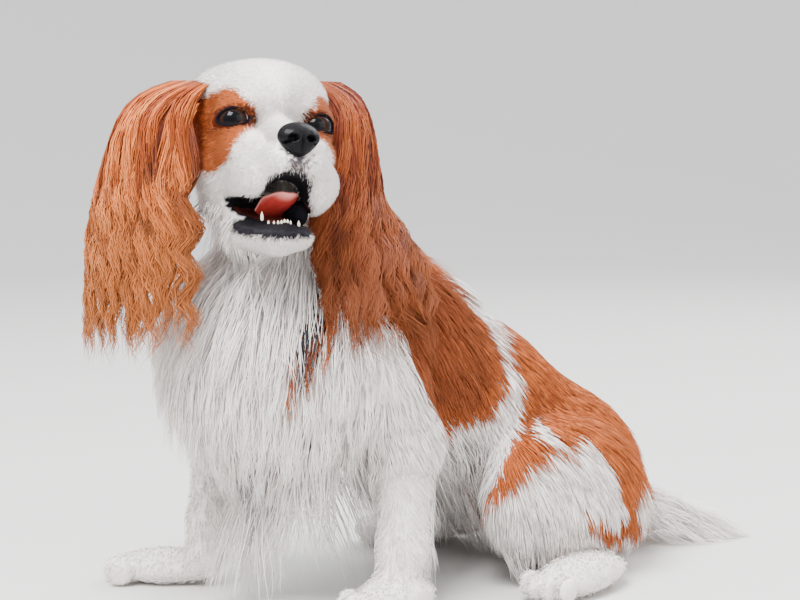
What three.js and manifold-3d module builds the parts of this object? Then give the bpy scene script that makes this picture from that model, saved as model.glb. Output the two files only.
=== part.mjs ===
// A Blenheim toy spaniel sitting with its head up and turned to its left, life size.
// Millimetres, +Z up, the tail end towards +Y, the dog's left towards +X.
import * as THREE from "three";
import { mergeVertices } from "three/addons/utils/BufferGeometryUtils.js";
import Module from "manifold-3d";

const wasm = await Module();
wasm.setup();

// Driving sizes
const GAP = 0.3; // between touching pieces
const BODY_CELL = 21; // facet size of the trunk
const LEG_CELL = 13.5; // facet size of the lower legs, feet and tail
const HEAD_CELL = 9.2; // facet size of the head
const SINK = 6; // how deep a lock's root sits in what it grows from
const FLOOR_CLEAR = 1.5; // the least height of a hanging lock
const SEED = 7;
const SOUND = 0.012; // least height of a triangle that needs no other try

// Pose: the head and the front quarters each have a frame of their own
const HEAD_AT = [14.3, -48.7, 358.5];
const HEAD_TURN = 77;
const HEAD_UP = 15;
const HEAD_LEAN = 4.5;
const FRONT_TURN = 18;

// Head landmarks in the head's frame: its nose points to -Y, its crown to +Z
const EYE_AT = [31.5, -34.5, -0.5];
const EYE_RADIUS = 12.2;
const EYE_OPENING = [12.4, 6.8];
const EYE_OUTWARD = 14;
const NOSE_AT = [0, -82, -24];
const NOSE_RADII = [15.5, 10, 12.5];
const JAW_SHIFT = -6;
const JAW_HINGE = [-14, -63]; // y and z behind which the jaw joins the throat

// Small vector helpers on plain triples
const add = (a, b) => [a[0] + b[0], a[1] + b[1], a[2] + b[2]];
const sub = (a, b) => [a[0] - b[0], a[1] - b[1], a[2] - b[2]];
const scale = (a, s) => [a[0] * s, a[1] * s, a[2] * s];
const dot = (a, b) => a[0] * b[0] + a[1] * b[1] + a[2] * b[2];
const size = (a) => Math.hypot(...a);
const unit = (a) => scale(a, 1 / Math.max(size(a), 1e-9));
const cross = (a, b) => [
  a[1] * b[2] - a[2] * b[1],
  a[2] * b[0] - a[0] * b[2],
  a[0] * b[1] - a[1] * b[0],
];
const mix = (a, b, t) => add(scale(a, 1 - t), scale(b, t));
const clamp = (x, low, high) => Math.min(Math.max(x, low), high);
const sidewise = (p) => [Math.abs(p[0]), p[1], p[2]];

// A turn by x, then y, then z degrees about the fixed axes
function turn(x = 0, y = 0, z = 0) {
  const [a, b, c] = [x, y, z].map(THREE.MathUtils.degToRad);
  const m = new THREE.Matrix4().makeRotationFromEuler(new THREE.Euler(a, b, c, "ZYX"));
  const e = m.elements;
  return [
    [e[0], e[4], e[8]],
    [e[1], e[5], e[9]],
    [e[2], e[6], e[10]],
  ];
}
const turned = (R, p) => [dot(R[0], p), dot(R[1], p), dot(R[2], p)];
const unturned = (R, p) => [
  R[0][0] * p[0] + R[1][0] * p[1] + R[2][0] * p[2],
  R[0][1] * p[0] + R[1][1] * p[1] + R[2][1] * p[2],
  R[0][2] * p[0] + R[1][2] * p[1] + R[2][2] * p[2],
];
function timesTurn(A, B) {
  const columns = [0, 1, 2].map((j) => turned(A, [B[0][j], B[1][j], B[2][j]]));
  return [0, 1, 2].map((i) => columns.map((c) => c[i]));
}

const NO_TURN = turn();
const HEAD_FRAME = timesTurn(
  timesTurn(turn(0, 0, HEAD_TURN), turn(-HEAD_UP, 0, 0)),
  turn(0, HEAD_LEAN, 0),
);
const FRONT_FRAME = turn(0, 0, FRONT_TURN);
const toHead = (p) => unturned(HEAD_FRAME, sub(p, HEAD_AT));
const fromHead = (p) => add(turned(HEAD_FRAME, p), HEAD_AT);
const toFront = (p) => unturned(FRONT_FRAME, p);
const fromFront = (p) => turned(FRONT_FRAME, p);

// A seeded draw from 0 to 1
let drawState = SEED;
function draw() {
  drawState = (drawState * 1664525 + 1013904223) % 4294967296;
  return drawState / 4294967296;
}
const about = (middle, spread) => middle + spread * (2 * draw() - 1);

// Signed distances, negative inside: an ellipsoid, and a rounded cone between two balls
const egg = (centre, radii, R = NO_TURN) => (p) => {
  const q = unturned(R, sub(p, centre));
  const k0 = Math.hypot(q[0] / radii[0], q[1] / radii[1], q[2] / radii[2]);
  const k1 = Math.hypot(q[0] / radii[0] ** 2, q[1] / radii[1] ** 2, q[2] / radii[2] ** 2);
  return (k0 * (k0 - 1)) / (k1 + 1e-9);
};
const bone = (a, b, ra, rb) => (p) => {
  const ab = sub(b, a);
  const long = dot(ab, ab);
  const rr = ra - rb;
  const a2 = long - rr * rr;
  const pa = sub(p, a);
  const y = dot(pa, ab);
  const z = y - long;
  const side = sub(scale(pa, long), scale(ab, y));
  const x2 = dot(side, side);
  const y2 = y * y * long;
  const z2 = z * z * long;
  const k = Math.sign(rr) * rr * rr * x2;
  if (Math.sign(z) * a2 * z2 > k) return Math.sqrt(x2 + z2) / long - rb;
  if (Math.sign(y) * a2 * y2 < k) return Math.sqrt(x2 + y2) / long - ra;
  return (Math.sqrt((x2 * a2) / long) + y * rr) / long - ra;
};
function blend(a, b, k) {
  const h = Math.max(k - Math.abs(a - b), 0) / k;
  return Math.min(a, b) - (h * h * k) / 4;
}
const carve = (a, b, k) => -blend(-a, b, k); // b cut out of a

// Skull, brows, cheeks, muzzle and lips: [form, blend, on both sides]
const HEAD_FORMS = [
  [egg([0, 10, 14], [55, 56, 39]), 1, false], // cranium
  [egg([26, 2, 27], [26, 32, 22]), 10, true],
  [egg([0, -22, 21], [42, 28, 29]), 14, false], // forehead
  [egg([26, -35, 12], [15, 12, 9]), 10, true], // brow
  [egg([32, -8, -28], [18, 34, 36]), 16, true], // cheek
  [egg([26, -42, -24], [17, 16, 15]), 12, true], // cushion under the eye
  [bone([0, -44, -12], [0, -74, -23], 14, 11), 10, false], // bridge
  [egg([12, -65, -39], [16, 20, 16], turn(12, 0, 0)), 8, true], // whisker pad
  [egg([26, -50, -48], [14, 25, 17], turn(10, 0, 0)), 10, true], // hanging lip
  [egg([0, -74, -25], [11, 11, 12]), 5, false], // seat of the nose
  [egg([20, -56, -57], [10, 19, 15]), 8, false], // left lip, which hangs lower
];
const JAW_FORMS = [
  [bone([0, -12, -67], [0, -50, -86], 26, 14), 1, false], // jaw bone
  [egg([0, -57, -88], [17, 14, 11]), 8, false], // chin
  [egg([18, -40, -85], [11, 27, 9], turn(8, 0, 0)), 8, true], // lower lip
];
const gather = (forms, q) =>
  forms.reduce((d, [form, k, paired]) => {
    const next = form(paired ? sidewise(q) : q);
    return d === null ? next : blend(d, next, k);
  }, null);

const mouthMiddle = egg([-4.5, -66, -61], [15, 24, 13]);
const mouthSides = egg([-16, -52, -67], [31, 33, 6.5], turn(18, 0, 0));
const mouth = (q) => blend(mouthMiddle(q), mouthSides(q), 5);
const eyeSeat = egg(EYE_AT, [13, 13, 12]);
function headForm(p) {
  const q = toHead(p);
  const jaw = gather(JAW_FORMS, sub(q, [JAW_SHIFT, 0, 0]));
  let d = blend(gather(HEAD_FORMS, q), jaw, 8);
  d = carve(d, eyeSeat(sidewise(q)), 5);
  return carve(d, mouth(q), 3);
}

// Trunk and neck, in the row's frame
const TRUNK_FORMS = [
  [egg([2, 78, 186], [74, 104, 80], turn(-36, 0, 4)), 1], // ribs
  [egg([8, 168, 142], [68, 88, 66], turn(-36, 0, 0)), 34], // loin
  [egg([18, 246, 78], [74, 78, 72], turn(-34, 0, 0)), 40], // rump
  [bone([0, 30, 236], [-2, -20, 312], 64, 47), 26], // neck
  [egg([82, 200, 70], [38, 80, 62], turn(-16, 0, -6)), 20], // left thigh
  [egg([-62, 205, 70], [38, 80, 62], turn(-16, 0, 6)), 20], // right thigh
];
// Front legs, in the front quarters' frame: side, elbow, wrist
const FRONT_LEGS = [
  { name: "left", side: 1, elbow: [82, 22, 132], wrist: [87, 10, 50] },
  { name: "right", side: -1, elbow: [-87, 6, 138], wrist: [-90, -2, 52] },
];
// Paws and hind feet on the floor: centre, radii, turn
const FRONT_PAWS = [
  { name: "left", at: [88, 22, 15], radii: [25, 38, 19], heading: 6 },
  { name: "right", at: [-112, -57, 12], radii: [27, 44, 16], heading: -40 },
];
const HIND_FEET = [
  { name: "left", at: [124, 178, 16], radii: [24, 56, 20], heading: 10 },
  { name: "right", at: [-96, 190, 16], radii: [24, 56, 20], heading: -10 },
];
const TAIL_LINE = [
  [28, 312, 48],
  [38, 352, 28],
  [48, 380, 19],
  [54, 402, 16],
];
const TAIL_RADII = [22, 18, 13, 8];

function frontForm(p) {
  const f = toFront(p);
  let d = egg([-15, -28, 192], [92, 70, 82], turn(-10, 0, 0))(f); // chest
  for (const { side, elbow, wrist } of FRONT_LEGS) {
    const foot = [wrist[0], wrist[1] - 10, 22];
    d = blend(d, egg([side * 58, -6, 190], [38, 52, 66], turn(-14, 0, 0))(f), 22);
    d = blend(d, bone([side * 66, 2, 180], elbow, 37, 29)(f), 18);
    d = blend(d, bone(elbow, wrist, 27, 21)(f), 12);
    d = blend(d, bone(wrist, foot, 20, 18)(f), 10);
  }
  return d;
}
function bodyForm(p) {
  let d = frontForm(p);
  for (const [form, k] of TRUNK_FORMS) d = blend(d, form(p), Math.max(k, 24));
  for (const { at, radii, heading } of [...FRONT_PAWS, ...HIND_FEET])
    d = blend(d, egg(at, radii, turn(0, 0, heading))(p), 14);
  TAIL_LINE.slice(1).forEach((end, i) => {
    d = blend(d, bone(TAIL_LINE[i], end, TAIL_RADII[i], TAIL_RADII[i + 1])(p), 14);
  });
  return d;
}
const dogForm = (p) => blend(bodyForm(p), headForm(p), 14);
function outward(p, form = dogForm, h = 1) {
  return unit([0, 1, 2].map((i) => {
    const step = [0, 0, 0];
    step[i] = h;
    return form(add(p, step)) - form(sub(p, step));
  }));
}

// Meshes. A solid is a closed three.js geometry read into manifold-3d, which joins and cuts
function solidOf(geometry) {
  const bare = new THREE.BufferGeometry();
  bare.setAttribute("position", geometry.getAttribute("position"));
  bare.setIndex(geometry.index);
  const merged = mergeVertices(bare, 1e-4);
  return new wasm.Manifold(
    new wasm.Mesh({
      numProp: 3,
      vertProperties: new Float32Array(merged.attributes.position.array),
      triVerts: new Uint32Array(merged.index.array),
    }),
  );
}
function geometryFrom(points, triangles) {
  const geometry = new THREE.BufferGeometry();
  geometry.setAttribute("position", new THREE.Float32BufferAttribute(points.flat(), 3));
  geometry.setIndex(triangles.flat());
  return geometry;
}
function geometryOf(solid) {
  const mesh = solid.getMesh();
  const geometry = new THREE.BufferGeometry();
  geometry.setAttribute("position", new THREE.BufferAttribute(mesh.vertProperties, 3));
  geometry.setIndex(new THREE.BufferAttribute(mesh.triVerts, 1));
  geometry.computeVertexNormals();
  return geometry;
}
function largest(solid) {
  const pieces = solid.decompose();
  return pieces.reduce((best, piece) => (piece.volume() > best.volume() ? piece : best));
}
// The largest closed shell among triangles that share whole edges, or none if an edge is shared badly
function outerShell(points, corner) {
  const edges = new Map();
  const faces = corner.length / 3;
  for (let f = 0; f < faces; f++)
    for (let k = 0; k < 3; k++) {
      const [a, b] = [corner[3 * f + k], corner[3 * f + ((k + 1) % 3)]];
      const key = Math.min(a, b) * 1e6 + Math.max(a, b);
      const list = edges.get(key) ?? [];
      list.push(f);
      edges.set(key, list);
    }
  const group = Array.from({ length: faces }, (_, i) => i);
  const root = (i) => {
    while (group[i] !== i) i = group[i];
    return i;
  };
  for (const list of edges.values()) {
    if (list.length !== 2) return null;
    group[root(list[0])] = root(list[1]);
  }
  const volume = new Map();
  const at = (i) => [points[3 * i], points[3 * i + 1], points[3 * i + 2]];
  for (let f = 0; f < faces; f++) {
    const [p, q, r] = [0, 1, 2].map((k) => at(corner[3 * f + k]));
    const shell = root(f);
    volume.set(shell, (volume.get(shell) ?? 0) + dot(p, cross(q, r)) / 6);
  }
  const [main] = [...volume].reduce((best, next) => (next[1] > best[1] ? next : best));
  const kept = [];
  for (let f = 0; f < faces; f++)
    if (root(f) === main) kept.push(corner[3 * f], corner[3 * f + 1], corner[3 * f + 2]);
  return kept;
}
// Drops pairs of triangles on the same three points, which face each other
function withoutFlaps(corner) {
  const seen = new Map();
  for (let i = 0; i < corner.length; i += 3) {
    const key = [corner[i], corner[i + 1], corner[i + 2]].sort((a, b) => a - b).join();
    seen.set(key, [...(seen.get(key) ?? []), i]);
  }
  const kept = [];
  for (const list of seen.values())
    if (list.length === 1) kept.push(...[0, 1, 2].map((k) => corner[list[0] + k]));
  return kept;
}
// Merges points closer together than an exchange file keeps, and keeps the outer shell
function settled(solid) {
  for (const near of [0.02, 0.03, 0.04, 0.05, 0.012, 0.008, 0.005, 0.003, 0.002]) {
    const snapped = geometryOf(solid).deleteAttribute("normal");
    const spots = snapped.getAttribute("position");
    for (let i = 0; i < spots.array.length; i++)
      spots.array[i] = Math.round(spots.array[i] / near) * near;
    const merged = mergeVertices(snapped, near / 4);
    const corner = merged.index.array;
    const whole = [];
    for (let i = 0; i < corner.length; i += 3) {
      const [a, b, c] = [corner[i], corner[i + 1], corner[i + 2]];
      if (a !== b && b !== c && c !== a) whole.push(a, b, c);
    }
    const kept = outerShell(merged.attributes.position.array, withoutFlaps(whole));
    if (!kept) continue;
    merged.setIndex(kept);
    const bare = merged.toNonIndexed();
    try {
      const shell = solidOf(mergeVertices(bare, 1e-4));
      if (shell.decompose().length === 1) return shell;
    } catch (error) {
      continue;
    }
  }
  return null;
}
// The least height of any triangle in a solid
function thinnest(solid) {
  const position = geometryOf(solid).toNonIndexed().getAttribute("position").array;
  let least = Infinity;
  for (let i = 0; i < position.length; i += 9) {
    const [p, q, r] = [0, 3, 6].map((k) => [...position.slice(i + k, i + k + 3)]);
    const longest = Math.max(size(sub(p, q)), size(sub(q, r)), size(sub(r, p)));
    least = Math.min(least, size(cross(sub(q, p), sub(r, p))) / longest);
  }
  return least;
}
// Tries a make with slightly other lock widths and keeps the one with the soundest triangles
function firstSettled(make) {
  let best = null;
  let soundest = 0;
  for (let i = 0; i < 14; i++) {
    const shell = settled(make(1 + 0.013 * i));
    if (!shell) continue;
    const least = thinnest(shell);
    if (least > soundest) [best, soundest] = [shell, least];
    if (soundest > SOUND) break;
  }
  return best ?? make(1);
}
const joined = (solids) => largest(wasm.Manifold.union(solids));

// A smooth skin of quads over the zero surface of a form, one vertex in each crossed cell
function skinOf(form, low, high, cell) {
  for (let i = 0; i < 12; i++) {
    const shift = [0.37 * i, 0.61 * i, 0.23 * i].map((x) => (x % 1) * cell);
    const { points, triangles } = netOf(form, add(low, shift), high, cell);
    const edges = new Map();
    for (const t of triangles)
      for (let k = 0; k < 3; k++) {
        const key = Math.min(t[k], t[(k + 1) % 3]) * 1e6 + Math.max(t[k], t[(k + 1) % 3]);
        edges.set(key, (edges.get(key) ?? 0) + 1);
      }
    if ([...edges.values()].every((n) => n === 2)) return solidOf(geometryFrom(points, triangles));
  }
  throw new Error("no grid gives a clean skin");
}
function netOf(open, low, high, cell) {
  const within = (p) =>
    Math.max(...[0, 1, 2].map((i) => Math.max(low[i] + 1.2 * cell - p[i], p[i] - high[i] + 2.2 * cell)));
  const form = (p) => Math.max(open(p), within(p));
  const n = [0, 1, 2].map((i) => Math.ceil((high[i] - low[i]) / cell) + 1);
  const at = (i, j, k) => [low[0] + i * cell, low[1] + j * cell, low[2] + k * cell];
  const key = (i, j, k) => (i * n[1] + j) * n[2] + k;
  const value = new Float32Array(n[0] * n[1] * n[2]);
  for (let i = 0; i < n[0]; i++)
    for (let j = 0; j < n[1]; j++)
      for (let k = 0; k < n[2]; k++) value[key(i, j, k)] = form(at(i, j, k));
  // A square of the grid with only two opposite corners inside would pinch the skin: it is filled
  const stride = [n[1] * n[2], n[2], 1];
  for (let changed = true; changed; ) {
    changed = false;
    for (let axis = 0; axis < 3; axis++) {
      const [b, c] = [stride[(axis + 1) % 3], stride[(axis + 2) % 3]];
      for (let i = 0; i < n[0] - 1; i++)
        for (let j = 0; j < n[1] - 1; j++)
          for (let k = 0; k < n[2] - 1; k++) {
            const at0 = key(i, j, k);
            const square = [at0, at0 + b, at0 + b + c, at0 + c];
            const inside = square.map((m) => value[m] < 0);
            if (inside[0] !== inside[2] || inside[1] !== inside[3] || inside[0] === inside[1]) continue;
            const fill = inside[0] ? square[1] : square[0];
            value[fill] = -0.02 * cell;
            changed = true;
          }
    }
  }
  const corners = [];
  for (let c = 0; c < 8; c++) corners.push([c & 1, (c >> 1) & 1, (c >> 2) & 1]);
  const vertexOf = new Map();
  const points = [];
  for (let i = 0; i < n[0] - 1; i++)
    for (let j = 0; j < n[1] - 1; j++)
      for (let k = 0; k < n[2] - 1; k++) {
        const v = corners.map((c) => value[key(i + c[0], j + c[1], k + c[2])]);
        const inside = v.filter((x) => x < 0).length;
        if (inside === 0 || inside === 8) continue;
        let sum = [0, 0, 0];
        let count = 0;
        corners.forEach((a, m) =>
          [0, 1, 2].forEach((axis) => {
            if (a[axis]) return;
            const other = v[m + (1 << axis)];
            if (v[m] < 0 === other < 0) return;
            const p = [...a];
            p[axis] += v[m] / (v[m] - other);
            sum = add(sum, p);
            count++;
          }),
        );
        vertexOf.set(key(i, j, k), points.length);
        points.push(add(at(i, j, k), scale(sum, cell / count)));
      }
  const triangles = [];
  for (let i = 1; i < n[0] - 1; i++)
    for (let j = 1; j < n[1] - 1; j++)
      for (let k = 1; k < n[2] - 1; k++)
        for (let axis = 0; axis < 3; axis++) {
          const to = [i, j, k];
          to[axis]++;
          const here = value[key(i, j, k)] < 0;
          if (here === value[key(...to)] < 0) continue;
          const [b, c] = [(axis + 1) % 3, (axis + 2) % 3];
          const quad = [[-1, -1], [0, -1], [0, 0], [-1, 0]].map(([db, dc]) => {
            const cellAt = [i, j, k];
            cellAt[b] += db;
            cellAt[c] += dc;
            return vertexOf.get(key(...cellAt));
          });
          if (!here) quad.reverse();
          triangles.push([quad[0], quad[1], quad[2]], [quad[0], quad[2], quad[3]]);
        }
  return { points, triangles };
}

// A closed loft: rings of the same count of points, each end drawn to its middle or to a point
function loft(rings) {
  const n = rings[0].length;
  const points = rings.flat();
  const triangles = [];
  for (let r = 0; r + 1 < rings.length; r++)
    for (let i = 0; i < n; i++) {
      const [a, b] = [r * n + i, r * n + ((i + 1) % n)];
      triangles.push([a, b, b + n], [a, b + n, a + n]);
    }
  const cap = (start, middle, flip) => {
    const tip = points.length;
    points.push(middle);
    for (let i = 0; i < n; i++) {
      const [a, b] = [start + i, start + ((i + 1) % n)];
      triangles.push(flip ? [b, a, tip] : [a, b, tip]);
    }
  };
  const middleOf = (ring) => scale(ring.reduce(add), 1 / n);
  cap(0, middleOf(rings[0]), true);
  cap((rings.length - 1) * n, rings.tip ?? middleOf(rings.at(-1)), false);
  const solid = solidOf(geometryFrom(points, triangles));
  return solid.volume() > 0 ? solid : loftTurnedOut(rings);
}
function loftTurnedOut(rings) {
  const reversed = rings.map((ring) => [...ring].reverse());
  reversed.tip = rings.tip;
  return loft(reversed);
}
function ringLoft(rings) {
  const n = rings[0].length;
  const triangles = [];
  rings.forEach((_, r) => {
    const next = (r + 1) % rings.length;
    for (let i = 0; i < n; i++) {
      const j = (i + 1) % n;
      triangles.push([r * n + i, r * n + j, next * n + j]);
      triangles.push([r * n + i, next * n + j, next * n + i]);
    }
  });
  const solid = solidOf(geometryFrom(rings.flat(), triangles));
  return solid.volume() > 0 ? solid : ringLoft(rings.map((ring) => [...ring].reverse()));
}
function boxSolid(centre, [x, y, z], R = NO_TURN) {
  const m = new THREE.Matrix4().set(
    R[0][0], R[0][1], R[0][2], centre[0],
    R[1][0], R[1][1], R[1][2], centre[1],
    R[2][0], R[2][1], R[2][2], centre[2],
    0, 0, 0, 1,
  );
  return solidOf(new THREE.BoxGeometry(x, y, z).applyMatrix4(m));
}

// A flat, tapered lock along a path: two thin edges and a low ridge on its outer face
const LOCK_SHAPE = (t) => Math.sqrt(clamp(1 - t, 0, 1)) * (0.72 + 0.28 * Math.sin(Math.PI * t));
function lock(path, faces, width, thick) {
  const last = path.length - 1;
  const rings = path.slice(0, last).map((p, i) => {
    const along = unit(sub(path[i + 1], path[Math.max(i - 1, 0)]));
    const across = unit(cross(along, faces[i]));
    const out = unit(cross(across, along));
    const w = (width / 2) * LOCK_SHAPE(i / last);
    const t = thick * LOCK_SHAPE(i / last);
    return [
      add(p, add(scale(across, -w), scale(out, -t / 3))),
      add(p, scale(out, t * 0.67)),
      add(p, add(scale(across, w), scale(out, -t / 3))),
    ];
  });
  rings.tip = path[last];
  return loft(rings);
}

// The path of a lock that starts in the coat and falls along its lie, kept clear of the body
function fall({ root, lie, droop, long, steps, wave, phase, clear, keep = dogForm }) {
  const normal = outward(root, keep);
  const start = sub(root, scale(normal, SINK));
  const path = [start];
  const faces = [normal];
  let p = root;
  let heading = unit(lie);
  let face = normal;
  const step = long / steps;
  for (let i = 1; i <= steps; i++) {
    const t = i / steps;
    heading = unit(mix(heading, [0, 0, -1], droop));
    const side = unit(cross(heading, face));
    const swing = wave * Math.cos(phase + t * Math.PI * 2.2);
    p = add(p, add(scale(heading, step), scale(side, swing)));
    const lift = clear * (0.5 + t) - keep(p);
    face = outward(p, keep);
    if (lift > 0) p = add(p, scale(face, lift));
    p = [p[0], p[1], Math.max(p[2], FLOOR_CLEAR)];
    path.push(p);
    faces.push(face);
  }
  return { path, faces };
}
function lockFrom(setup) {
  const { path, faces } = fall(setup);
  return lock(path, faces, setup.width, setup.thick);
}

// A point on the coat, found by walking in from outside along a ray
function onCoat(from, towards, form = bodyForm) {
  const ray = unit(towards);
  let p = from;
  for (let i = 0; i < 60; i++) {
    const d = form(p);
    if (d < 0.2) break;
    p = add(p, scale(ray, Math.max(d * 0.8, 0.3)));
  }
  return p;
}

// Head: skin, lids, eyes, nose, mouth
const eyeFrame = (side) =>
  timesTurn(HEAD_FRAME, turn(0, 0, side * EYE_OUTWARD));
const eyeCentre = (side) => fromHead([side * EYE_AT[0], EYE_AT[1], EYE_AT[2]]);
function onBall(centre, R, radius, x, z) {
  const q = [x, -Math.sqrt(Math.max(radius ** 2 - x * x - z * z, 0)), z];
  return add(centre, turned(R, q));
}
function lids(side) {
  const R = eyeFrame(side);
  const centre = eyeCentre(side);
  const count = 12;
  const rings = [];
  for (let i = 0; i < count; i++) {
    const a = (2 * Math.PI * i) / count;
    const spot = (grow, radius) =>
      onBall(centre, R, radius,
        (EYE_OPENING[0] + grow) * Math.cos(a) * 0.86,
        (EYE_OPENING[1] + grow) * Math.sin(a) * 0.86);
    rings.push([
      spot(-0.4, EYE_RADIUS + GAP),
      spot(-0.2, EYE_RADIUS + 2.2),
      spot(2.6, EYE_RADIUS + 3),
      spot(4, EYE_RADIUS - 1),
    ]);
  }
  return ringLoft(rings);
}
function eyeBall(side) {
  const ball = new THREE.SphereGeometry(EYE_RADIUS, 12, 8);
  ball.translate(...eyeCentre(side));
  return solidOf(ball);
}
const noseForm = (grow = 0) => {
  const [rx, ry, rz] = NOSE_RADII;
  const geometry = new THREE.SphereGeometry(1, 14, 9);
  const position = geometry.getAttribute("position");
  for (let i = 0; i < position.count; i++) {
    const [x, y, z] = [position.getX(i), position.getY(i), position.getZ(i)];
    const narrow = 1 - 0.38 * clamp(-z, 0, 1); // it narrows down to the lip
    const square = 1 + 0.1 * clamp(z, 0, 1);
    const q = add(NOSE_AT, [
      x * (rx + grow) * narrow * square,
      y * (ry + grow),
      z * (rz + grow) + 2 * clamp(z, 0, 1) * y,
    ]);
    position.setXYZ(i, ...fromHead(q));
  }
  return solidOf(geometry);
};
function nostril(side) {
  const rings = [0, 1, 2, 3].map((i) => {
    const t = i / 3;
    const centre = [side * (6.2 + 3 * t), NOSE_AT[1] - 12 + 9 * t, NOSE_AT[2] - 1 + 2 * t];
    return Array.from({ length: 7 }, (_, k) => {
      const a = (2 * Math.PI * k) / 7;
      return fromHead(add(centre, [3.6 * Math.cos(a), 0, 2.9 * Math.sin(a)]));
    });
  });
  return loft(rings);
}
const bigBox = 900;

// Ears: a curved leather flap on the side of the head, with tiers of long wavy locks
const EAR = {
  root: [49, 3, 37], // in the head's frame
  raised: 8, // how much higher the left one is held
  leather: 88, // its length
  rise: 12,
  reach: 190, // from the root to the tips
  width: 84,
  thick: 6,
  cup: 15, // how far its middle stands out from its edges
  hang: 5, // how far off the neck its underside hangs
  facing: [0.85, 0.55], // how much the left one faces forwards and sideways; the right one the other way
};
function earFrame(side) {
  const root = fromHead([side * EAR.root[0], EAR.root[1], EAR.root[2] + (side > 0 ? EAR.raised : 0)]);
  const out = unit(turned(HEAD_FRAME, [side, 0, 0]));
  const ahead = unit(turned(HEAD_FRAME, [0, -1, 0]));
  const flatOut = unit([out[0], out[1], 0]);
  const flatAhead = unit([ahead[0], ahead[1], 0]);
  return { root, out: flatOut, ahead: flatAhead };
}
// A point of the ear: t runs from the root to the tips, s from the back edge to the front one
function earPoint(side, t, s, lift = 0) {
  const { root, out, ahead } = earFrame(side);
  const spread = EAR.width * (0.34 + 0.76 * Math.sin(Math.PI * Math.min(0.08 + t * 0.62, 0.5)));
  const away = 2 + (side > 0 ? 15 : 36) * (1 - Math.exp(-t * 5)) + (side > 0 ? -6 : 4) * t;
  const down = EAR.reach * t - EAR.rise * Math.sin(Math.PI * Math.min(t * 3, 1));
  const curve = EAR.cup * (1 - s * s) * Math.min(t * 5, 1);
  const [fore, aside] = side > 0 ? EAR.facing : [...EAR.facing].reverse();
  const wide = unit(add(scale(out, -fore), scale(ahead, aside)));
  const face = unit(add(scale(out, aside), scale(ahead, fore)));
  let p = add(root, scale(out, away));
  p = add(p, scale(ahead, 6 + (side > 0 ? 24 : -8) * t));
  p = add(p, scale(wide, (s * spread) / 2));
  p = add(add(p, scale(face, curve)), [0, 0, -down]);
  if (t > 0.1)
    for (let i = 0; i < 8; i++) {
      const close = EAR.hang - bodyForm(p);
      if (close <= 0) break;
      const away = outward(p, bodyForm, 3);
      p = add(p, scale(unit(add([away[0], away[1], 0], ahead)), close));
    }
  return add(p, scale(face, lift));
}
const earFace = (side, t, s) => {
  const e = 0.02;
  const down = sub(earPoint(side, t + e, s), earPoint(side, t, s));
  const across = sub(earPoint(side, t, s + e), earPoint(side, t, s - e));
  const face = unit(cross(down, across));
  const { out } = earFrame(side);
  return dot(face, out) > 0 ? face : scale(face, -1);
};
function earLeather(side, reach = EAR.leather, grow = 0) {
  const share = reach / EAR.reach;
  const rings = [];
  const steps = 7;
  const half = 3;
  for (let i = 0; i <= steps; i++) {
    const t = (share * i) / steps;
    const round = Math.sqrt(Math.max(1 - (Math.max(i / steps - 0.55, 0) / 0.5) ** 2, 0.04));
    const ring = [];
    for (let k = -half; k <= half; k++) ring.push(earPoint(side, t, (k / half) * round, EAR.thick + grow));
    for (let k = half; k >= -half; k--) ring.push(earPoint(side, t, (k / half) * round * 0.96, -grow));
    rings.push(ring);
  }
  const startsInHead = rings[0].map((p) => {
    const { out } = earFrame(side);
    return add(p, scale(out, -14));
  });
  return loft([startsInHead, ...rings]);
}
const EAR_TIERS = [
  { at: 0.12, locks: 3, until: 0.62 },
  { at: 0.28, locks: 4, until: 0.86 },
  { at: 0.4, locks: 5, until: 1.06 },
];
function earLocks(side, wider, grow = 0) {
  const locks = [];
  drawState = SEED + side;
  EAR_TIERS.forEach(({ at, locks: count, until }, tier) => {
    for (let i = 0; i < count; i++) {
      const s = count === 1 ? 0 : ((i + 0.5) / count) * 2 - 1 + about(0, 0.06);
      const end = until * about(1, 0.05);
      const steps = 5;
      const lean = about(0, 0.12);
      const phase = about(0, 3);
      const path = [];
      const faces = [];
      for (let k = 0; k <= steps; k++) {
        const q = k / steps;
        const t = at + (end - at) * q;
        const sway = 0.09 * Math.sin(phase + q * 7) * Math.min(q * 2, 1);
        const lift = EAR.thick - 3 + Math.min(q * 3, 1) * (2.5 + (2 - tier) * 2.2);
        path.push(earPoint(side, t, s * 0.92 + sway + lean * q, k === 0 ? 1 : lift));
        faces.push(earFace(side, t, s * 0.92));
      }
      locks.push(lock(path, faces, 21 * wider + 2 * grow, 4.6 + 2 * grow));
    }
  });
  return locks;
}

// Rows of locks on the body: where each starts, in a frame, and how it falls
const FORWARD = [0, -1, 0];
function row({ frame = NO_TURN, from, to, count, seek, lie, spread = 0, ...rest }) {
  const locks = [];
  for (let i = 0; i < count; i++) {
    const u = count === 1 ? 0.5 : (i + about(0.5, 0.18)) / count;
    const fan = turned(frame, [spread * (2 * u - 1), 0, 0]);
    const start = turned(frame, mix(from, to, u));
    const root = onCoat(start, turned(frame, seek));
    locks.push({
      root,
      lie: unit(add(turned(frame, unit(lie)), fan)),
      droop: 0.1, steps: 5, wave: 2.4, clear: 5, thick: 5, width: 24,
      ...rest,
      long: rest.long * about(1, 0.12),
      phase: about(0, 3),
    });
  }
  return locks;
}
const frontRow = (z, half, count, long, more = {}) =>
  row({
    frame: FRONT_FRAME, from: [-half, -190, z], to: [half, -190, z], count, long,
    seek: [0, 1, 0], lie: [0, -0.15, -1], spread: 0.35, ...more,
  });
const legRow = (side, z, long) =>
  row({
    frame: FRONT_FRAME, from: [side * 80, 130, z], to: [side * 96, 130, z], count: 2, long,
    seek: FORWARD, lie: [0, 0.35, -1], width: 17, clear: 3, spread: 0.2,
  });
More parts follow.
